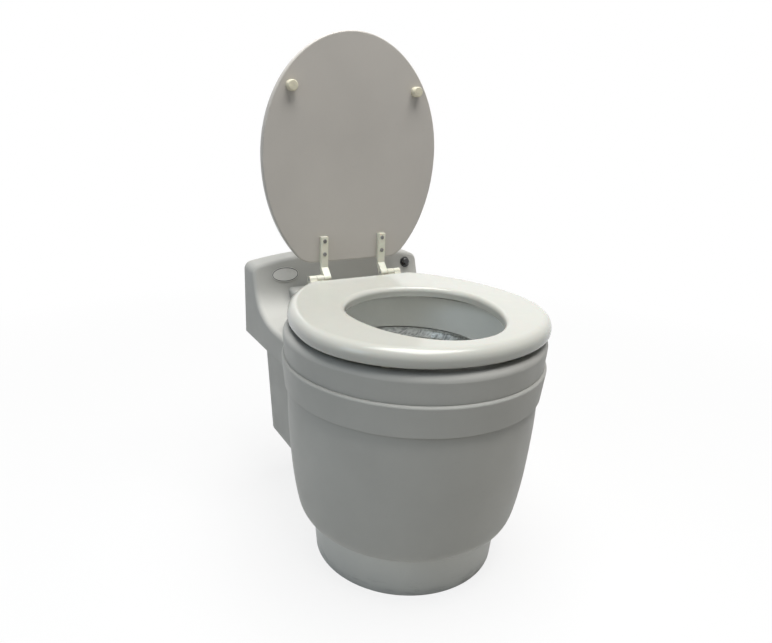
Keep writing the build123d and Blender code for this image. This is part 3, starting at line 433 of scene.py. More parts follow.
@dataclass(frozen=True)
class SoftRubber(Finish):
    """Rubber or soft vinyl with a matt bloom on it."""

    roughness: float = 0.62
    bloom: float = 0.12

    def material(self) -> bpy.types.Material:
        """Make the rubber.

        Returns:
            The material.
        """
        graph = Graph(self.name)
        cloud = graph.remap(graph.noise(150.0, 4.0), 0.35, 0.7, 0.0, 1.0)
        base = graph.mix(cloud, linear(self.colour), linear(shade(self.colour, 1 + self.bloom)))
        # Painted shade: the rubber darkens in inner corners, where shade falls.
        corner = graph.math("MULTIPLY", graph.crease(0.008), 0.5)
        base = graph.mix(corner, base, linear(shade(self.colour, 0.45)))
        rough = graph.remap(cloud, 0.0, 1.0, self.roughness - 0.08, self.roughness + 0.1)
        normal = graph.bump(graph.noise(1600.0, 2.0), 0.00004, graph.soft_edge(0.001))
        inputs = {
            "Base Color": base,
            "Roughness": rough,
            "Normal": normal,
            "Sheen Weight": 0.1,
            "Specular IOR Level": 0.4,
        }
        return graph.surface(inputs)


@dataclass(frozen=True)
class Webbing(Finish):
    """Flat woven strap."""

    pitch: float = 0.0016

    def material(self) -> bpy.types.Material:
        """Make the weave.

        Returns:
            The material.
        """
        graph = Graph(self.name)
        inputs = {"Vector": graph.place, "Scale": 0.5 / self.pitch, "Distortion": 0.4}
        across, along = (
            graph.node("ShaderNodeTexWave", inputs, bands_direction=way).outputs[1] for way in "XY"
        )
        weave = graph.math("MAXIMUM", across, along)
        # Painted light and shade of the weave: lighter where the threads stand high, darker between
        # them.
        base = graph.mix(weave, linear(shade(self.colour, 0.6)), linear(shade(self.colour, 1.4)))
        normal = graph.bump(weave, 0.0004)
        return graph.surface(
            {"Base Color": base, "Roughness": 0.85, "Normal": normal, "Sheen Weight": 0.2}
        )


@dataclass(frozen=True)
class SolderMask(Finish):
    """A printed board with tracks under green lacquer."""

    def material(self) -> bpy.types.Material:
        """Make the board.

        Returns:
            The material.
        """
        graph = Graph(self.name)
        cell = graph.node(
            "ShaderNodeTexBrick",
            {
                "Vector": graph.place,
                "Scale": 260.0,
                "Color1": linear(self.colour),
                "Color2": linear(shade(self.colour, 1.5)),
                "Mortar": linear(shade(self.colour, 0.6)),
                "Mortar Size": 0.06,
            },
        )
        normal = graph.bump(cell.outputs[1], 0.00008, graph.soft_edge(0.0003))
        rough = graph.remap(graph.noise(80.0), 0.3, 0.7, 0.25, 0.4)
        return graph.surface({"Base Color": cell.outputs[0], "Roughness": rough, "Normal": normal})


# The housing's strong painted shade in its seams stands in for the shadow lines under its bands.
HOUSING = MouldedPlastic(
    "housing_grey", (0.785, 0.782, 0.762), roughness=0.5, painted_shade=0.7, specular=0.2,
)
FOOT = MouldedPlastic("plinth_grey", (0.90, 0.90, 0.878), scuff_top=0.028, roughness=0.5)
SEAT = MouldedPlastic(
    "seat_white", (0.775, 0.775, 0.745), roughness=0.2, drift=0.012, grain=0.000006, wave=0.0003,
    coat=0.3, painted_shade=0.3, scatter=0.05, specular=0.35,
)
LID = MouldedPlastic(
    "lid_white", (0.76, 0.74, 0.715), roughness=0.36, drift=0.02, grain=0.00002, wave=0.0006,
    coat=0.15, painted_shade=0.25,
)
HINGE = MouldedPlastic(
    "hinge_ivory", (0.90, 0.895, 0.83), roughness=0.24, drift=0.015, grain=0.00001, edge=0.0009,
    wave=0.0001, painted_shade_reach=0.006, scatter=0.05,
)
# The bowl's colour is set near white, as painted light that brightens its shaded inside.
BOWL = MouldedPlastic("bowl_grey", (0.97, 0.97, 0.95), roughness=0.34, grain=0.00001, wave=0.0004)
INNER = MouldedPlastic("inner_plastic", (0.86, 0.86, 0.84), roughness=0.45, edge=0.0005)
BLACK = MouldedPlastic("black_plastic", (0.09, 0.09, 0.095), roughness=0.5, drift=0.1, edge=0.0005)
BUTTON = MouldedPlastic(
    "button_black", (0.035, 0.035, 0.035), roughness=0.14, drift=0.1, grain=0.000004, wave=0.00005,
    coat=0.5, edge=0.0004, painted_shade=0.5, painted_shade_reach=0.004,
)
BADGE = MouldedPlastic(
    "badge_metal", (0.90, 0.895, 0.875), roughness=0.3, drift=0.015, grain=0.000008, wave=0.00005,
    edge=0.0003,
)
BORDER = MouldedPlastic(
    "badge_border", (0.12, 0.12, 0.12), roughness=0.35, edge=0.0001, wave=0.00002,
)
BAG = MouldedPlastic(
    "bag_film", (0.10, 0.10, 0.11), roughness=0.3, drift=0.15, grain=0.0002, grain_scale=90.0,
)
BUMPER = SoftRubber("bumper_ivory", (0.84, 0.815, 0.73))
RUBBER = SoftRubber("pad_rubber", (0.08, 0.08, 0.08))
SCREW = Metal("screw_dark", (0.50, 0.50, 0.49), roughness=0.42)
STEEL = Metal("steel", (0.72, 0.72, 0.73))
TRAY = Metal("tray_aluminium", (0.80, 0.81, 0.82), roughness=0.38, line_scale=(60.0, 1200.0, 60.0))
FILM = Foil("film_silver", (0.62, 0.63, 0.62))
STACK = Foil(
    "film_stack", (0.70, 0.71, 0.72), roughness=0.45, crease_scale=160.0, crease_depth=0.0004,
)
STRAP = Webbing("strap_webbing", (0.12, 0.12, 0.13))
BOARD = SolderMask("board_green", (0.07, 0.30, 0.16))


def mesh_object(
    name: str, points: Sequence[Sequence[float]], faces: Sequence[Sequence[int]]
) -> bpy.types.Object:
    """Make a smooth mesh and put it in the scene.

    Args:
        name: The piece's name.
        points: Its corners.
        faces: The corners of each face, by number.

    Returns:
        The new object.
    """
    mesh = bpy.data.meshes.new(name)
    mesh.from_pydata([tuple(p) for p in points], [], [tuple(f) for f in faces])
    mesh.validate()
    work = bmesh.new()
    work.from_mesh(mesh)
    bmesh.ops.recalc_face_normals(work, faces=work.faces)
    work.to_mesh(mesh)
    work.free()
    mesh.polygons.foreach_set("use_smooth", [True] * len(mesh.polygons))
    made = bpy.data.objects.new(name, mesh)
    bpy.context.scene.collection.objects.link(made)
    return made


def tube_faces(rows: int, columns: int, closed: bool, first: int = 0) -> list[tuple[int, ...]]:
    """Number the faces of a grid whose columns run round.

    Args:
        rows: How many rows the grid has.
        columns: How many points are in a row.
        closed: Whether the last row joins the first.
        first: The number of the grid's first point.

    Returns:
        The corners of each face.
    """
    faces = []
    for row in range(rows if closed else rows - 1):
        here, there = first + row * columns, first + (row + 1) % rows * columns
        for column in range(columns):
            after = (column + 1) % columns
            faces.append((here + column, here + after, there + after, there + column))
    return faces


def resampled(line: Sequence[tuple[float, float]], count: int) -> np.ndarray:
    """Walk along a line in even steps.

    Args:
        line: The line's corners.
        count: How many points to return.

    Returns:
        The points, one row each.
    """
    corners = np.array(line, float)
    steps = np.concatenate([[0.0], np.cumsum(np.hypot(*np.diff(corners, axis=0).T))])
    where = np.linspace(0.0, steps[-1], count)
    return np.column_stack([np.interp(where, steps, corners[:, i]) for i in (0, 1)])


def around(columns: int) -> np.ndarray:
    """Give even steps round a circle.

    Args:
        columns: How many steps there are.

    Returns:
        The angle of each, in radians.
    """
    return np.linspace(0.0, 2 * math.pi, columns, endpoint=False)


def thicken(piece: bpy.types.Object, thickness: float) -> None:
    """Give a sheet its thickness, half to each side.

    Args:
        piece: The sheet.
        thickness: How thick it becomes.
    """
    skin = piece.modifiers.new("skin", "SOLIDIFY")
    skin.thickness, skin.offset = thickness, 0.0


def folded(across: np.ndarray, sharpness: float) -> np.ndarray:
    """Fold a strip like paper.

    Args:
        across: The place across the folds, one unit for each fold.
        sharpness: Above 1 for narrow ridges.

    Returns:
        The height of the folds, from 0 to 1.
    """
    return (1 - np.abs(2 * (across - np.floor(across)) - 1)) ** sharpness


@dataclass
class Assembly:
    """A group of solids and the pieces that stand for or on them."""

    finishes: dict[str, Finish] = field(default_factory=dict)

    def dress(self) -> None:
        """Give each solid of the group its finish."""
        for node, finish in self.finishes.items():
            Wardrobe.put_on(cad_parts[node], finish)

    def build(self) -> list[bpy.types.Object]:
        """Make the group's own pieces.

        Returns:
            The pieces.
        """
        return []


class Wardrobe:
    """The finishes made so far, each made once."""

    made: dict[str, bpy.types.Material] = {}

    @classmethod
    def put_on(cls, piece: bpy.types.Object, finish: Finish) -> None:
        """Give a piece a finish.

        Args:
            piece: The piece or solid.
            finish: Its finish.
        """
        if finish.name not in cls.made:
            cls.made[finish.name] = finish.material()
        piece.data.materials.clear()
        piece.data.materials.append(cls.made[finish.name])


def fit(
    piece: bpy.types.Object, body: Body, finish: Finish, stands_for: Iterable[str] = ()
) -> bpy.types.Object:
    """Finish a piece, set it on its body and hide the solids that it stands for.

    Args:
        piece: The piece, in place.
        body: What it moves with.
        finish: Its finish.
        stands_for: The solids that it hides.

    Returns:
        The piece.
    """
    Wardrobe.put_on(piece, finish)
    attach(piece, body.value)
    for node in stands_for:
        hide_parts(node)
    return piece


@dataclass
class Housing(Assembly):
    """The plinth, the lower and upper housings and the rim ring."""

    finishes: dict[str, Finish] = field(
        default_factory=lambda: {
            "plinth": FOOT,
            "lower_housing": HOUSING,
            "upper_housing": HOUSING,
            "rim_ring": HOUSING,
            "rear_cover": HOUSING,
            "anti_slip_pads": RUBBER,
            "rim_gasket": RUBBER,
            "plinth_screws": STEEL,
            "housing_screws": STEEL,
            "power_jack": BLACK,
        }
    )


@dataclass
class Bowl(Assembly):
    """The bowl insert and the turning film below it."""

    finishes: dict[str, Finish] = field(
        default_factory=lambda: {
            "bowl_insert": BOWL,
            "cartridge_cover": INNER,
            "film_cartridge": INNER,
            "carrier_ring": INNER,
            "glide_ring": INNER,
            "bag_ring": INNER,
        }
    )
    centre_y: float = 0.012
    profile: tuple[tuple[float, float], ...] = (
        (0.1304, 0.3297),
        (0.1304, 0.3262),
        (0.1252, 0.3168),
        (0.0945, 0.2902),
        (0.0597, 0.2642),
        (0.0297, 0.2382),
        (0.0117, 0.2145),
        (0.0085, 0.2080),
        (0.0100, 0.1965),
    )
    rows: int = 150
    columns: int = 560
    pleats: int = 26
    pleat_height: float = 0.0034
    pleat_sharpness: float = 1.6
    fold_start: float = 0.1295
    fold_settle: float = 0.02
    neck_radius: float = 0.06
    neck_share: float = 0.12
    tip_rise: float = 0.0008
    creases: int = 22
    crease_turn: tuple[float, float] = (0.95, 0.55)
    crease_width: tuple[float, float] = (0.014, 0.05)
    crease_share: float = 0.022
    crease_sharpness: float = 2.2
    film: float = 0.0003
    seed: int = 7
    channel: float = 0.0186
    channel_gap: float = 0.0004
    top_gap: float = 0.0006
    layers: int = 56
    layer_step: float = 0.0009
    layer_round: float = 0.003
    layer_ends: int = 5
    layer_columns: int = 240
    waves: int = 3

    def build(self) -> list[bpy.types.Object]:
        """Make the pleated film and the stack that it is drawn from.

        Returns:
            The pieces.
        """
        return [self.liner(), self.stack()]

    def crumple(self, x: np.ndarray, y: np.ndarray, random: np.random.Generator) -> np.ndarray:
        """Add straight creases that cross each other, most of them in one direction.

        Args:
            x: Where each point is to the right.
            y: Where each point is to the back.
            random: The source of the creases' places.

        Returns:
            The height that the creases add.
        """
        height = np.zeros_like(x)
        for _ in range(self.creases):
            turn = random.normal(*self.crease_turn)
            width = random.uniform(*self.crease_width)
            offset = random.uniform(0.0, 1.0)
            bend = 0.25 * np.sin((x * np.cos(turn) + y * np.sin(turn)) / 0.045 + offset * 6)
            across = (y * np.cos(turn) - x * np.sin(turn)) / width + offset + bend
            mask = 0.5 + 0.5 * np.sin(x / 0.03 * random.uniform(0.4, 1.0) + y / 0.04 + offset * 9)
            crease = folded(across, self.crease_sharpness) - 0.3
            height += crease * mask * width * self.crease_share
        return height

    def liner(self) -> bpy.types.Object:
        """Make the film that lines the opening and gathers to a neck.

        Returns:
            The film.
        """
        random = np.random.default_rng(self.seed)
        line = resampled(self.profile, self.rows)
        slope = np.gradient(line, axis=0)
        slope /= np.hypot(slope[:, 0], slope[:, 1])[:, None]
        radius, angle = np.meshgrid(line[:, 0], around(self.columns), indexing="ij")
        x, y = radius * np.cos(angle), radius * np.sin(angle)
        free = np.clip((self.fold_start - line[:, 0]) / self.fold_settle, 0.0, 1.0)[:, None]
        narrow = np.clip(line[:, 0] / self.neck_radius, self.neck_share, 1.0)[:, None]
        wander = 0.35 * np.sin(3 * angle + 1.1) + 0.22 * np.sin(7 * angle + 2 * free)
        mouth = self.profile[0][0]
        across = self.pleats * angle / (2 * math.pi) + wander + 2.2 * (1 - radius / mouth)
        depth = 0.55 + 0.45 * np.sin(5 * angle + 0.6) * np.cos(2 * angle)
        pleat = folded(across, self.pleat_sharpness) - 0.35
        lift = pleat * depth * self.pleat_height * free * narrow
        lift += self.crumple(x, y, random) * free * np.clip(narrow * 1.3, 0.0, 1.0)
        height = line[:, 1:2] + np.abs(slope[:, 0:1]) * lift
        radius = np.minimum(radius + slope[:, 1:2] * lift, mouth)
        points = np.stack(
            [radius * np.cos(angle), self.centre_y + radius * np.sin(angle), height], axis=-1
        ).reshape(-1, 3)
        tip = [0.0, self.centre_y, self.profile[-1][1] + self.tip_rise]
        faces = tube_faces(self.rows, self.columns, closed=False)
        last = (self.rows - 1) * self.columns
        faces += [
            (last + c, last + (c + 1) % self.columns, len(points)) for c in range(self.columns)
        ]
        piece = mesh_object("film_folds", [*points.tolist(), tip], faces)
        thicken(piece, self.film)
        return fit(piece, Body.DRUM, FILM, ["film_liner"])

    def stack(self) -> bpy.types.Object:
        """Make the ring of gathered film layers in its channel.

        Returns:
            The stack.
        """
        low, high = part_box("film_pack")
        outer = (high.x - low.x) / 2 - self.channel_gap
        inner, foot, top = outer - self.channel, low.z + self.channel_gap, high.z - self.top_gap
        heights = np.linspace(foot, top, self.layers)
        jag = np.where(np.arange(self.layers) % 2 == 0, 0.0, self.layer_step)
        ends = np.linspace(outer - self.layer_round, inner + self.layer_round, self.layer_ends)
        outline = [(outer - j, z) for j, z in zip(jag, heights)]
        outline += [(r, top) for r in ends]
        outline += [(inner + j, z) for j, z in zip(jag[::-1], heights[::-1])]
        outline += [(r, foot) for r in ends[::-1]]
        points = []
        for r, z in outline:
            share = (z - foot) / (top - foot)
            for turn in around(self.layer_columns):
                wave = math.sin(self.waves * turn + 40 * z) * share
                sag = self.layer_step * (wave - 1) * share
                points.append((r * math.cos(turn), self.centre_y + r * math.sin(turn), z + sag))
        faces = tube_faces(len(outline), self.layer_columns, closed=True)
        piece = mesh_object("film_layers", points, faces)
        return fit(piece, Body.DRUM, STACK, ["film_pack"])


@dataclass
class CollectionBag(Assembly):
    """The soft bag in the tub, standing on the plinth's floor."""

    rows: int = 90
    columns: int = 420
    folds: int = 17
    fold_depth: float = 0.0042
    fold_sharpness: float = 1.8
    ripple_depth: float = 0.0007
    foot: float = 0.1116
    foot_round: float = 0.012
    middle: float = 0.004
    seam: float = 0.03
    mouth_gap: float = 0.0004
    floor_gap: float = 0.0003
    top_gap: float = 0.0002
    film: float = 0.0003

    def build(self) -> list[bpy.types.Object]:
        """Make the bag, with its folds and its slack sides.

        Returns:
            The bag.
        """
        low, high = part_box("collection_bag")
        floor, top = low.z + self.floor_gap, high.z - self.top_gap
        corners = (
            (self.middle, floor),
            (self.foot - self.foot_round, floor),
            (self.foot, floor + self.foot_round),
            (high.x - self.mouth_gap, top),
        )
        line = resampled(corners, self.rows)
        radius, angle = np.meshgrid(line[:, 0], around(self.columns), indexing="ij")
        height = np.repeat(line[:, 1:2], self.columns, axis=1)
        free = np.clip((top - height) / self.seam, 0.0, 1.0)
        free = free * np.clip(radius / self.foot, 0.0, 1.0) ** 3
        wander = 0.5 * np.sin(height / 0.05) + 0.4 * np.sin(3 * angle)
        across = self.folds * angle / (2 * math.pi) + wander
        sway = 0.6 + 0.4 * np.sin(2 * angle + height / 0.03)
        slack = folded(across, self.fold_sharpness) * sway
        ripple = 1 + np.sin(height / 0.006 + 4 * np.sin(6 * angle))
        radius = radius - free * (slack * self.fold_depth + ripple * self.ripple_depth)
        points = np.stack([radius * np.cos(angle), radius * np.sin(angle), height], axis=-1)
        points = points.reshape(-1, 3)
        faces = tube_faces(self.rows, self.columns, closed=False)
        faces += [((c + 1) % self.columns, c, len(points)) for c in range(self.columns)]
        piece = mesh_object("bag_folds", [*points.tolist(), [0.0, 0.0, floor]], faces)
        thicken(piece, self.film)
        return [fit(piece, Body.BODY, BAG, ["collection_bag"])]


@dataclass
class Equipment(Assembly):
    """The drive, the blower, the battery and the board."""

    finishes: dict[str, Finish] = field(
        default_factory=lambda: {
            "support_deck": INNER,
            "drive_motor": STEEL,
            "motor_shaft": STEEL,
            "motor_screws": STEEL,
            "drive_pinion": INNER,
            "battery": BLACK,
            "equipment_tray": TRAY,
            "board_standoffs": INNER,
            "control_board": BOARD,
            "blower_motor": STEEL,
            "blower_housing": BLACK,
            "blower_wheel": BLACK,
            "vacuum_hose": RUBBER,
        }
    )
    strap_skin: float = 0.0015
    strap_gap: float = 0.0002
    strap_round: float = 0.004
    arc_start: float = 0.2
    arc_steps: int = 4
    strap_rings: int = 9

    def build(self) -> list[bpy.types.Object]:
        """Make the strap over the battery.

        Returns:
            The strap.
        """
        low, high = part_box("battery_strap")
        outer, top, bend = high.x - self.strap_gap, high.z - self.strap_gap, self.strap_round
        skin = self.strap_skin - 2 * self.strap_gap
        turns = np.linspace(self.arc_start, math.pi / 2 - self.arc_start, self.arc_steps)
        arc = [bend * (1 - math.cos(turn)) for turn in turns]
        outside = [(-outer, low.z), (-outer, top - bend)]
        outside += [(-outer + x, top - z) for x, z in zip(arc, arc[::-1])]
        outside += [(-outer + bend, top), (outer - bend, top)]
        outside += [(outer - x, top - z) for x, z in zip(arc[::-1], arc)]
        outside += [(outer, top - bend), (outer, low.z)]
        inner, under = outer - skin, top - skin
        section = outside + [(inner, low.z), (inner, under), (-inner, under), (-inner, low.z)]
        rings = np.linspace(low.y + self.strap_gap, high.y - self.strap_gap, self.strap_rings)
        points = [(x, float(y), z) for y in rings for x, z in section]
        count = len(section)
        faces = tube_faces(len(rings), count, closed=False)
        faces += [tuple(range(count)), tuple(range((len(rings) - 1) * count, len(rings) * count))]
        piece = mesh_object("strap_webbing", points, faces)
        piece.data.polygons.foreach_set("use_smooth", [False] * len(piece.data.polygons))
        return [fit(piece, Body.BODY, STRAP, ["battery_strap"])]


@dataclass
class PanHeads:
    """Round screw heads with a cross cut in them, and their shanks."""

    head: float = 0.0034
    rise: float = 0.0015
    shank: float = 0.00195
    cross_width: float = 0.0009
    cross_reach: float = 0.0022
    cross_depth: float = 0.0009
    cross_slope: float = 0.4
    flatness: float = 0.72
    tip: float = 0.001
    tip_radius: float = 0.0001
    rings: int = 16
    columns: int = 64

    def height(self, x: float, y: float) -> float:
        """Give the head's height at a place on it.

        Args:
            x: The place to the right of the middle.
            y: The place above the middle.

        Returns:
            How far it stands from its seat.
        """
        radius = math.hypot(x, y)
        dome = self.rise * math.sqrt(1 - (radius / self.head) ** 2 * self.flatness)
        slot = min(abs(x), abs(y)) < self.cross_width / 2 and radius < self.cross_reach
        if not slot:
            return dome
        return dome - self.cross_depth * (1 - radius / self.cross_reach * self.cross_slope)

    def local_points(self, length: float) -> list[Point]:
        """Give the points of one screw that stands upright on its seat.

        Args:
            length: The length of the shank.

        Returns:
            The points, from the head's middle out and down.
        """
        half_step = math.pi / self.columns
        turns = [turn + half_step for turn in around(self.columns)]
        points = [(0.0, 0.0, self.height(0.0, 0.0))]
        for ring in range(1, self.rings + 1):
            radius = self.head * ring / self.rings
            for turn in turns:
                x, y = radius * math.cos(turn), radius * math.sin(turn)
                points.append((x, y, self.height(x, y)))
        below = (
            (self.head, 0.0),
            (self.shank, 0.0),
            (self.shank, -length),
            (self.tip_radius, -length - self.tip),
        )
        for radius, z in below:
            points += [(radius * math.cos(turn), radius * math.sin(turn), z) for turn in turns]
        return points

    def place(self, name: str, node: str, out: Vector) -> bpy.types.Object:
        """Make one mesh of the equal screws of a node.

        Args:
            name: The piece's name.
            node: The node that holds the screws as solids.
            out: Which way the heads face, along one axis.

        Returns:
            The screws.
        """
        points: list[Point] = []
        faces: list[tuple[int, ...]] = []
        axis = next(i for i in range(3) if out[i] != 0)
        turn = out.to_track_quat("Z", "Y").to_matrix()
        for low, high in island_boxes(node):
            seat = (low + high) / 2
            seat[axis] = low[axis] + self.rise if out[axis] < 0 else high[axis] - self.rise
            length = high[axis] - low[axis] - self.rise - self.tip
            first = len(points)
            local = self.local_points(length)
            rows = (len(local) - 1) // self.columns
            points += [tuple(seat + turn @ Vector(p)) for p in local]
            faces += [
                (first, first + 1 + c, first + 1 + (c + 1) % self.columns)
                for c in range(self.columns)
            ]
            faces += tube_faces(rows, self.columns, closed=False, first=first + 1)
            last = first + 1 + (rows - 1) * self.columns
            faces.append(tuple(range(last, last + self.columns)))
        return mesh_object(name, points, faces)


def island_boxes(node: str) -> list[tuple[Vector, Vector]]:
    """Find the separate solids of a node.

    Args:
        node: The node's name.

    Returns:
        The lowest and highest corner of each, sorted so that each run gives the same order.
    """
    work = bmesh.new()
    work.from_mesh(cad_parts[node].data)
    bmesh.ops.remove_doubles(work, verts=work.verts, dist=1e-6)
    left, boxes = set(work.verts), []
    while left:
        reach, found = [left.pop()], []
        while reach:
            vertex = reach.pop()
            found.append(vertex.co.copy())
            for edge in vertex.link_edges:
                other = edge.other_vert(vertex)
                if other in left:
                    left.remove(other)
                    reach.append(other)
        low = Vector(min(p[i] for p in found) for i in range(3))
        high = Vector(max(p[i] for p in found) for i in range(3))
        boxes.append((low, high))
    work.free()
    return sorted(boxes, key=lambda box: tuple(box[0]))


@dataclass
class Seat(Assembly):
    """The seat ring with its bumpers and leaves."""

    finishes: dict[str, Finish] = field(
        default_factory=lambda: {
            "seat_ring": SEAT,
            "seat_bumpers": BUMPER,
            "left_seat_leaf": HINGE,
            "right_seat_leaf": HINGE,
        }
    )

    def build(self) -> list[bpy.types.Object]:
        """Make the screws under the leaves.

        Returns:
            The screws.
        """
        piece = PanHeads().place("seat_screw_heads", "seat_screws", Vector((0, 0, -1)))
        return [fit(piece, Body.SEAT, SCREW, ["seat_screws"])]


@dataclass
class Lid(Assembly):
    """The lid with its bumpers and arms."""

    finishes: dict[str, Finish] = field(
        default_factory=lambda: {
            "lid": LID,
            "lid_bumpers": BUMPER,
            "left_lid_arm": HINGE,
            "right_lid_arm": HINGE,
        }
    )

    def build(self) -> list[bpy.types.Object]:
        """Make the screws that hold the lid to its arms.

        Returns:
            The screws.
        """
        piece = PanHeads().place("lid_screw_heads", "lid_screws", Vector((0, -1, 0)))
        return [fit(piece, Body.LID, SCREW, ["lid_screws"])]


@dataclass
class Hinges(Assembly):
    """The posts, pins and nuts that stay on the housing."""

    finishes: dict[str, Finish] = field(
        default_factory=lambda: {
            "left_hinge_post": HINGE,
            "right_hinge_post": HINGE,
            "left_hinge_pin": STEEL,
            "right_hinge_pin": STEEL,
            "hinge_nuts": INNER,
        }
    )


@dataclass
class Backrest(Assembly):
    """The flush button, the blank badge and the screws of the rear cover."""

    finishes: dict[str, Finish] = field(
        default_factory=lambda: {
            "flush_button": BUTTON,
            "button_bezel": BUTTON,
            "button_nut": INNER,
            "button_switch": BLACK,
            "badge_plate": BADGE,
        }
    )
    lean: float = math.radians(17.6)
    badge_depth: float = 0.001
    line_width: float = 0.0010
    line_height: float = 0.0003
    line_inset: float = 0.0013
    line_sink: float = 0.0001
    line_shoulder: float = 0.7
    line_slope: float = 0.25
    columns: int = 160

    def build(self) -> list[bpy.types.Object]:
        """Make the badge's border line and the cover's screws.

        Returns:
            The pieces.
        """
        return [self.border(), self.cover_screws()]

    def border(self) -> bpy.types.Object:
        """Make the thin oval line on the badge.

        Returns:
            The line.
        """
        low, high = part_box("badge_plate")
        out = Vector((0, -math.cos(self.lean), math.sin(self.lean)))
        up = Vector((0, math.sin(self.lean), math.cos(self.lean)))
        across = Vector((1, 0, 0))
        half_width = (high.x - low.x) / 2
        lifted = self.badge_depth * math.sin(self.lean)
        half_height = ((high.z - low.z) - lifted) / 2 / math.cos(self.lean)
        middle = (low + high) / 2 + out * self.badge_depth / 2
        edge, far, crest = self.line_inset, self.line_inset + self.line_width, self.line_height
        shoulder, slope = crest * self.line_shoulder, self.line_width * self.line_slope
        section = (
            (edge, -self.line_sink),
            (edge, shoulder),
            (edge + slope, crest),
            (far - slope, crest),
            (far, shoulder),
            (far, -self.line_sink),
        )
        points = []
        for inset, rise in section:
            for turn in around(self.columns):
                points.append(
                    middle
                    + across * (half_width - inset) * math.cos(turn)
                    + up * (half_height - inset) * math.sin(turn)
                    + out * rise
                )
        faces = tube_faces(len(section), self.columns, closed=True)
        piece = mesh_object("badge_border", points, faces)
        return fit(piece, Body.BODY, BORDER)

    def cover_screws(self) -> bpy.types.Object:
        """Make the screws that hold the rear cover.

        Returns:
            The screws.
        """
        piece = PanHeads().place("cover_screw_heads", "rear_cover_screws", Vector((0, 1, 0)))
        return fit(piece, Body.BODY, STEEL, ["rear_cover_screws"])


class Lamp(Enum):
    """The studio's lamps, each with its place, width, power and colour."""

    OVERHEAD = ((0.1, -0.2, 2.6), 1.6, 70.0, (1.0, 0.995, 0.975))
    WINDOW = ((-2.6, -0.4, 1.7), 1.2, 12.0, (0.70, 0.85, 1.0))
    FRONT = ((-0.2, -2.8, 1.9), 1.4, 1.0, (1.0, 0.99, 0.96))
    BACK = ((0.6, 2.6, 2.0), 1.4, 5.0, (1.0, 1.0, 1.0))


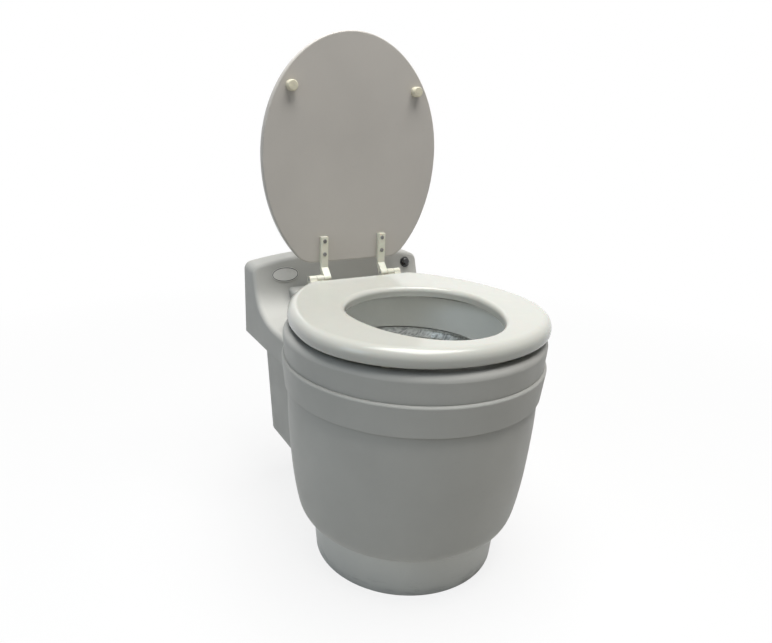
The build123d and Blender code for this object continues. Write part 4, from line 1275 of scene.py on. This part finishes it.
@dataclass
class Studio:
    """The floor, the backdrop, the lamps and the camera."""

    floor_half: float = 60.0
    pool_radius: float = 0.5
    pool_edge: float = 1.7
    pool_share: float = 0.84
    ambient: float = 0.10
    room_colour: tuple[float, float, float, float] = (0.95, 0.975, 1.0, 1.0)
    floor_tones: tuple[Colour, Colour] = ((0.70, 0.70, 0.69), (0.72, 0.72, 0.71))
    pale_tone: Colour = (0.97, 0.97, 0.97)
    aim_height: float = 0.3
    camera_place: Point = (-0.5181, -0.7959, 0.7027)
    camera_right: Point = (0.8692, -0.4927, 0.0418)
    camera_up: Point = (0.122, 0.2957, 0.9475)
    camera_ahead: Point = (0.4792, 0.8184, -0.3171)
    sensor: float = 36.0
    focus_pixels: float = 650.0
    picture_pixels: float = 772.0

    def build(self) -> None:
        """Make the whole studio."""
        self.floor()
        self.world()
        for lamp in Lamp:
            self.lamp(lamp)
        self.camera()

    def floor(self) -> None:
        """Make the pale floor, white to the camera but for the object's shadow."""
        half = self.floor_half
        corners = [(-half, -half, 0.0), (half, -half, 0.0), (half, half, 0.0), (-half, half, 0.0)]
        piece = mesh_object("floor", corners, [(0, 1, 2, 3)])
        graph = Graph("floor_pale")
        cloud = graph.remap(graph.noise(2.0), 0.3, 0.7, 0.0, 1.0)
        tone = graph.mix(cloud, *map(linear, self.floor_tones))
        matt = graph.node("ShaderNodeBsdfDiffuse", {"Color": tone})
        pale = graph.node("ShaderNodeBsdfDiffuse", {"Color": linear(self.pale_tone)})
        glow = graph.node("ShaderNodeEmission", {"Color": (1, 1, 1, 1), "Strength": 1.0})
        away = graph.node("ShaderNodeVectorMath", {0: graph.place}, operation="LENGTH")
        share = graph.remap(
            away.outputs["Value"], self.pool_radius, self.pool_edge, self.pool_share, 1.0
        )
        white = graph.node(
            "ShaderNodeMixShader", {0: share, 1: pale.outputs[0], 2: glow.outputs[0]}
        )
        path = graph.node("ShaderNodeLightPath")
        seen = graph.math("MAXIMUM", path.outputs["Is Camera Ray"], path.outputs["Is Glossy Ray"])
        seen = graph.math("MAXIMUM", seen, path.outputs["Is Transmission Ray"])
        both = graph.node("ShaderNodeMixShader", {0: seen, 1: matt.outputs[0], 2: white.outputs[0]})
        output = graph.node("ShaderNodeOutputMaterial")
        graph.tree.links.new(both.outputs[0], output.inputs[0])
        piece.data.materials.append(graph.material)

    def world(self) -> None:
        """Make the even light of the room, with a white backdrop."""
        world = bpy.data.worlds.new("room")
        bpy.context.scene.world = world
        world.use_nodes = True
        tree = world.node_tree
        tree.nodes.clear()
        room = tree.nodes.new("ShaderNodeBackground")
        room.inputs[0].default_value = self.room_colour
        room.inputs[1].default_value = self.ambient
        backdrop = tree.nodes.new("ShaderNodeBackground")
        backdrop.inputs[0].default_value = (1.0, 1.0, 1.0, 1.0)
        path = tree.nodes.new("ShaderNodeLightPath")
        seen = path.outputs["Is Camera Ray"]
        for kind in ("Is Glossy Ray", "Is Transmission Ray"):
            most = tree.nodes.new("ShaderNodeMath")
            most.operation = "MAXIMUM"
            tree.links.new(seen, most.inputs[0])
            tree.links.new(path.outputs[kind], most.inputs[1])
            seen = most.outputs[0]
        both = tree.nodes.new("ShaderNodeMixShader")
        output = tree.nodes.new("ShaderNodeOutputWorld")
        tree.links.new(seen, both.inputs[0])
        tree.links.new(room.outputs[0], both.inputs[1])
        tree.links.new(backdrop.outputs[0], both.inputs[2])
        tree.links.new(both.outputs[0], output.inputs[0])

    def lamp(self, lamp: Lamp) -> None:
        """Hang one soft lamp that faces the object.

        Args:
            lamp: Which lamp it is.
        """
        place, width, power, colour = lamp.value
        data = bpy.data.lights.new(lamp.name.lower(), "AREA")
        data.size, data.energy, data.color = width, power, colour
        made = bpy.data.objects.new(data.name, data)
        made.location = place
        aim = Vector((0.0, 0.0, self.aim_height)) - Vector(place)
        made.rotation_euler = aim.to_track_quat("-Z", "Y").to_euler()
        bpy.context.scene.collection.objects.link(made)

    def camera(self) -> None:
        """Set the camera where the photograph was taken from."""
        data = bpy.data.cameras.new("camera")
        data.sensor_width = self.sensor
        data.lens = self.focus_pixels / self.picture_pixels * self.sensor
        made = bpy.data.objects.new("camera", data)
        back = tuple(-c for c in self.camera_ahead)
        turn = Matrix((self.camera_right, self.camera_up, back)).transposed()
        made.matrix_world = Matrix.Translation(self.camera_place) @ turn.to_4x4()
        bpy.context.scene.collection.objects.link(made)
        bpy.context.scene.camera = made


def smooth_solids() -> None:
    """Let curved faces of the solids shade smoothly, and keep their edges."""
    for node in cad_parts.values():
        if not node.data.has_custom_normals:
            node.data.shade_smooth()


def main() -> None:
    """Build every assembly in order, then the studio."""
    logging.basicConfig(level=logging.INFO, format="%(message)s")
    bpy.context.scene.view_settings.view_transform = "Standard"
    smooth_solids()
    makers: tuple[Callable[[], Assembly], ...] = (
        Housing, Bowl, CollectionBag, Equipment, Seat, Lid, Hinges, Backrest,
    )
    for maker in makers:
        assembly = maker()
        assembly.dress()
        for piece in assembly.build():
            count = len(piece.data.polygons)
            LOG.info("%s: made %s with %d faces", maker.__name__, piece.name, count)
        LOG.info("%s: dressed %d solids", maker.__name__, len(assembly.finishes))
    Studio().build()


if __name__ == "__main__":
    main()
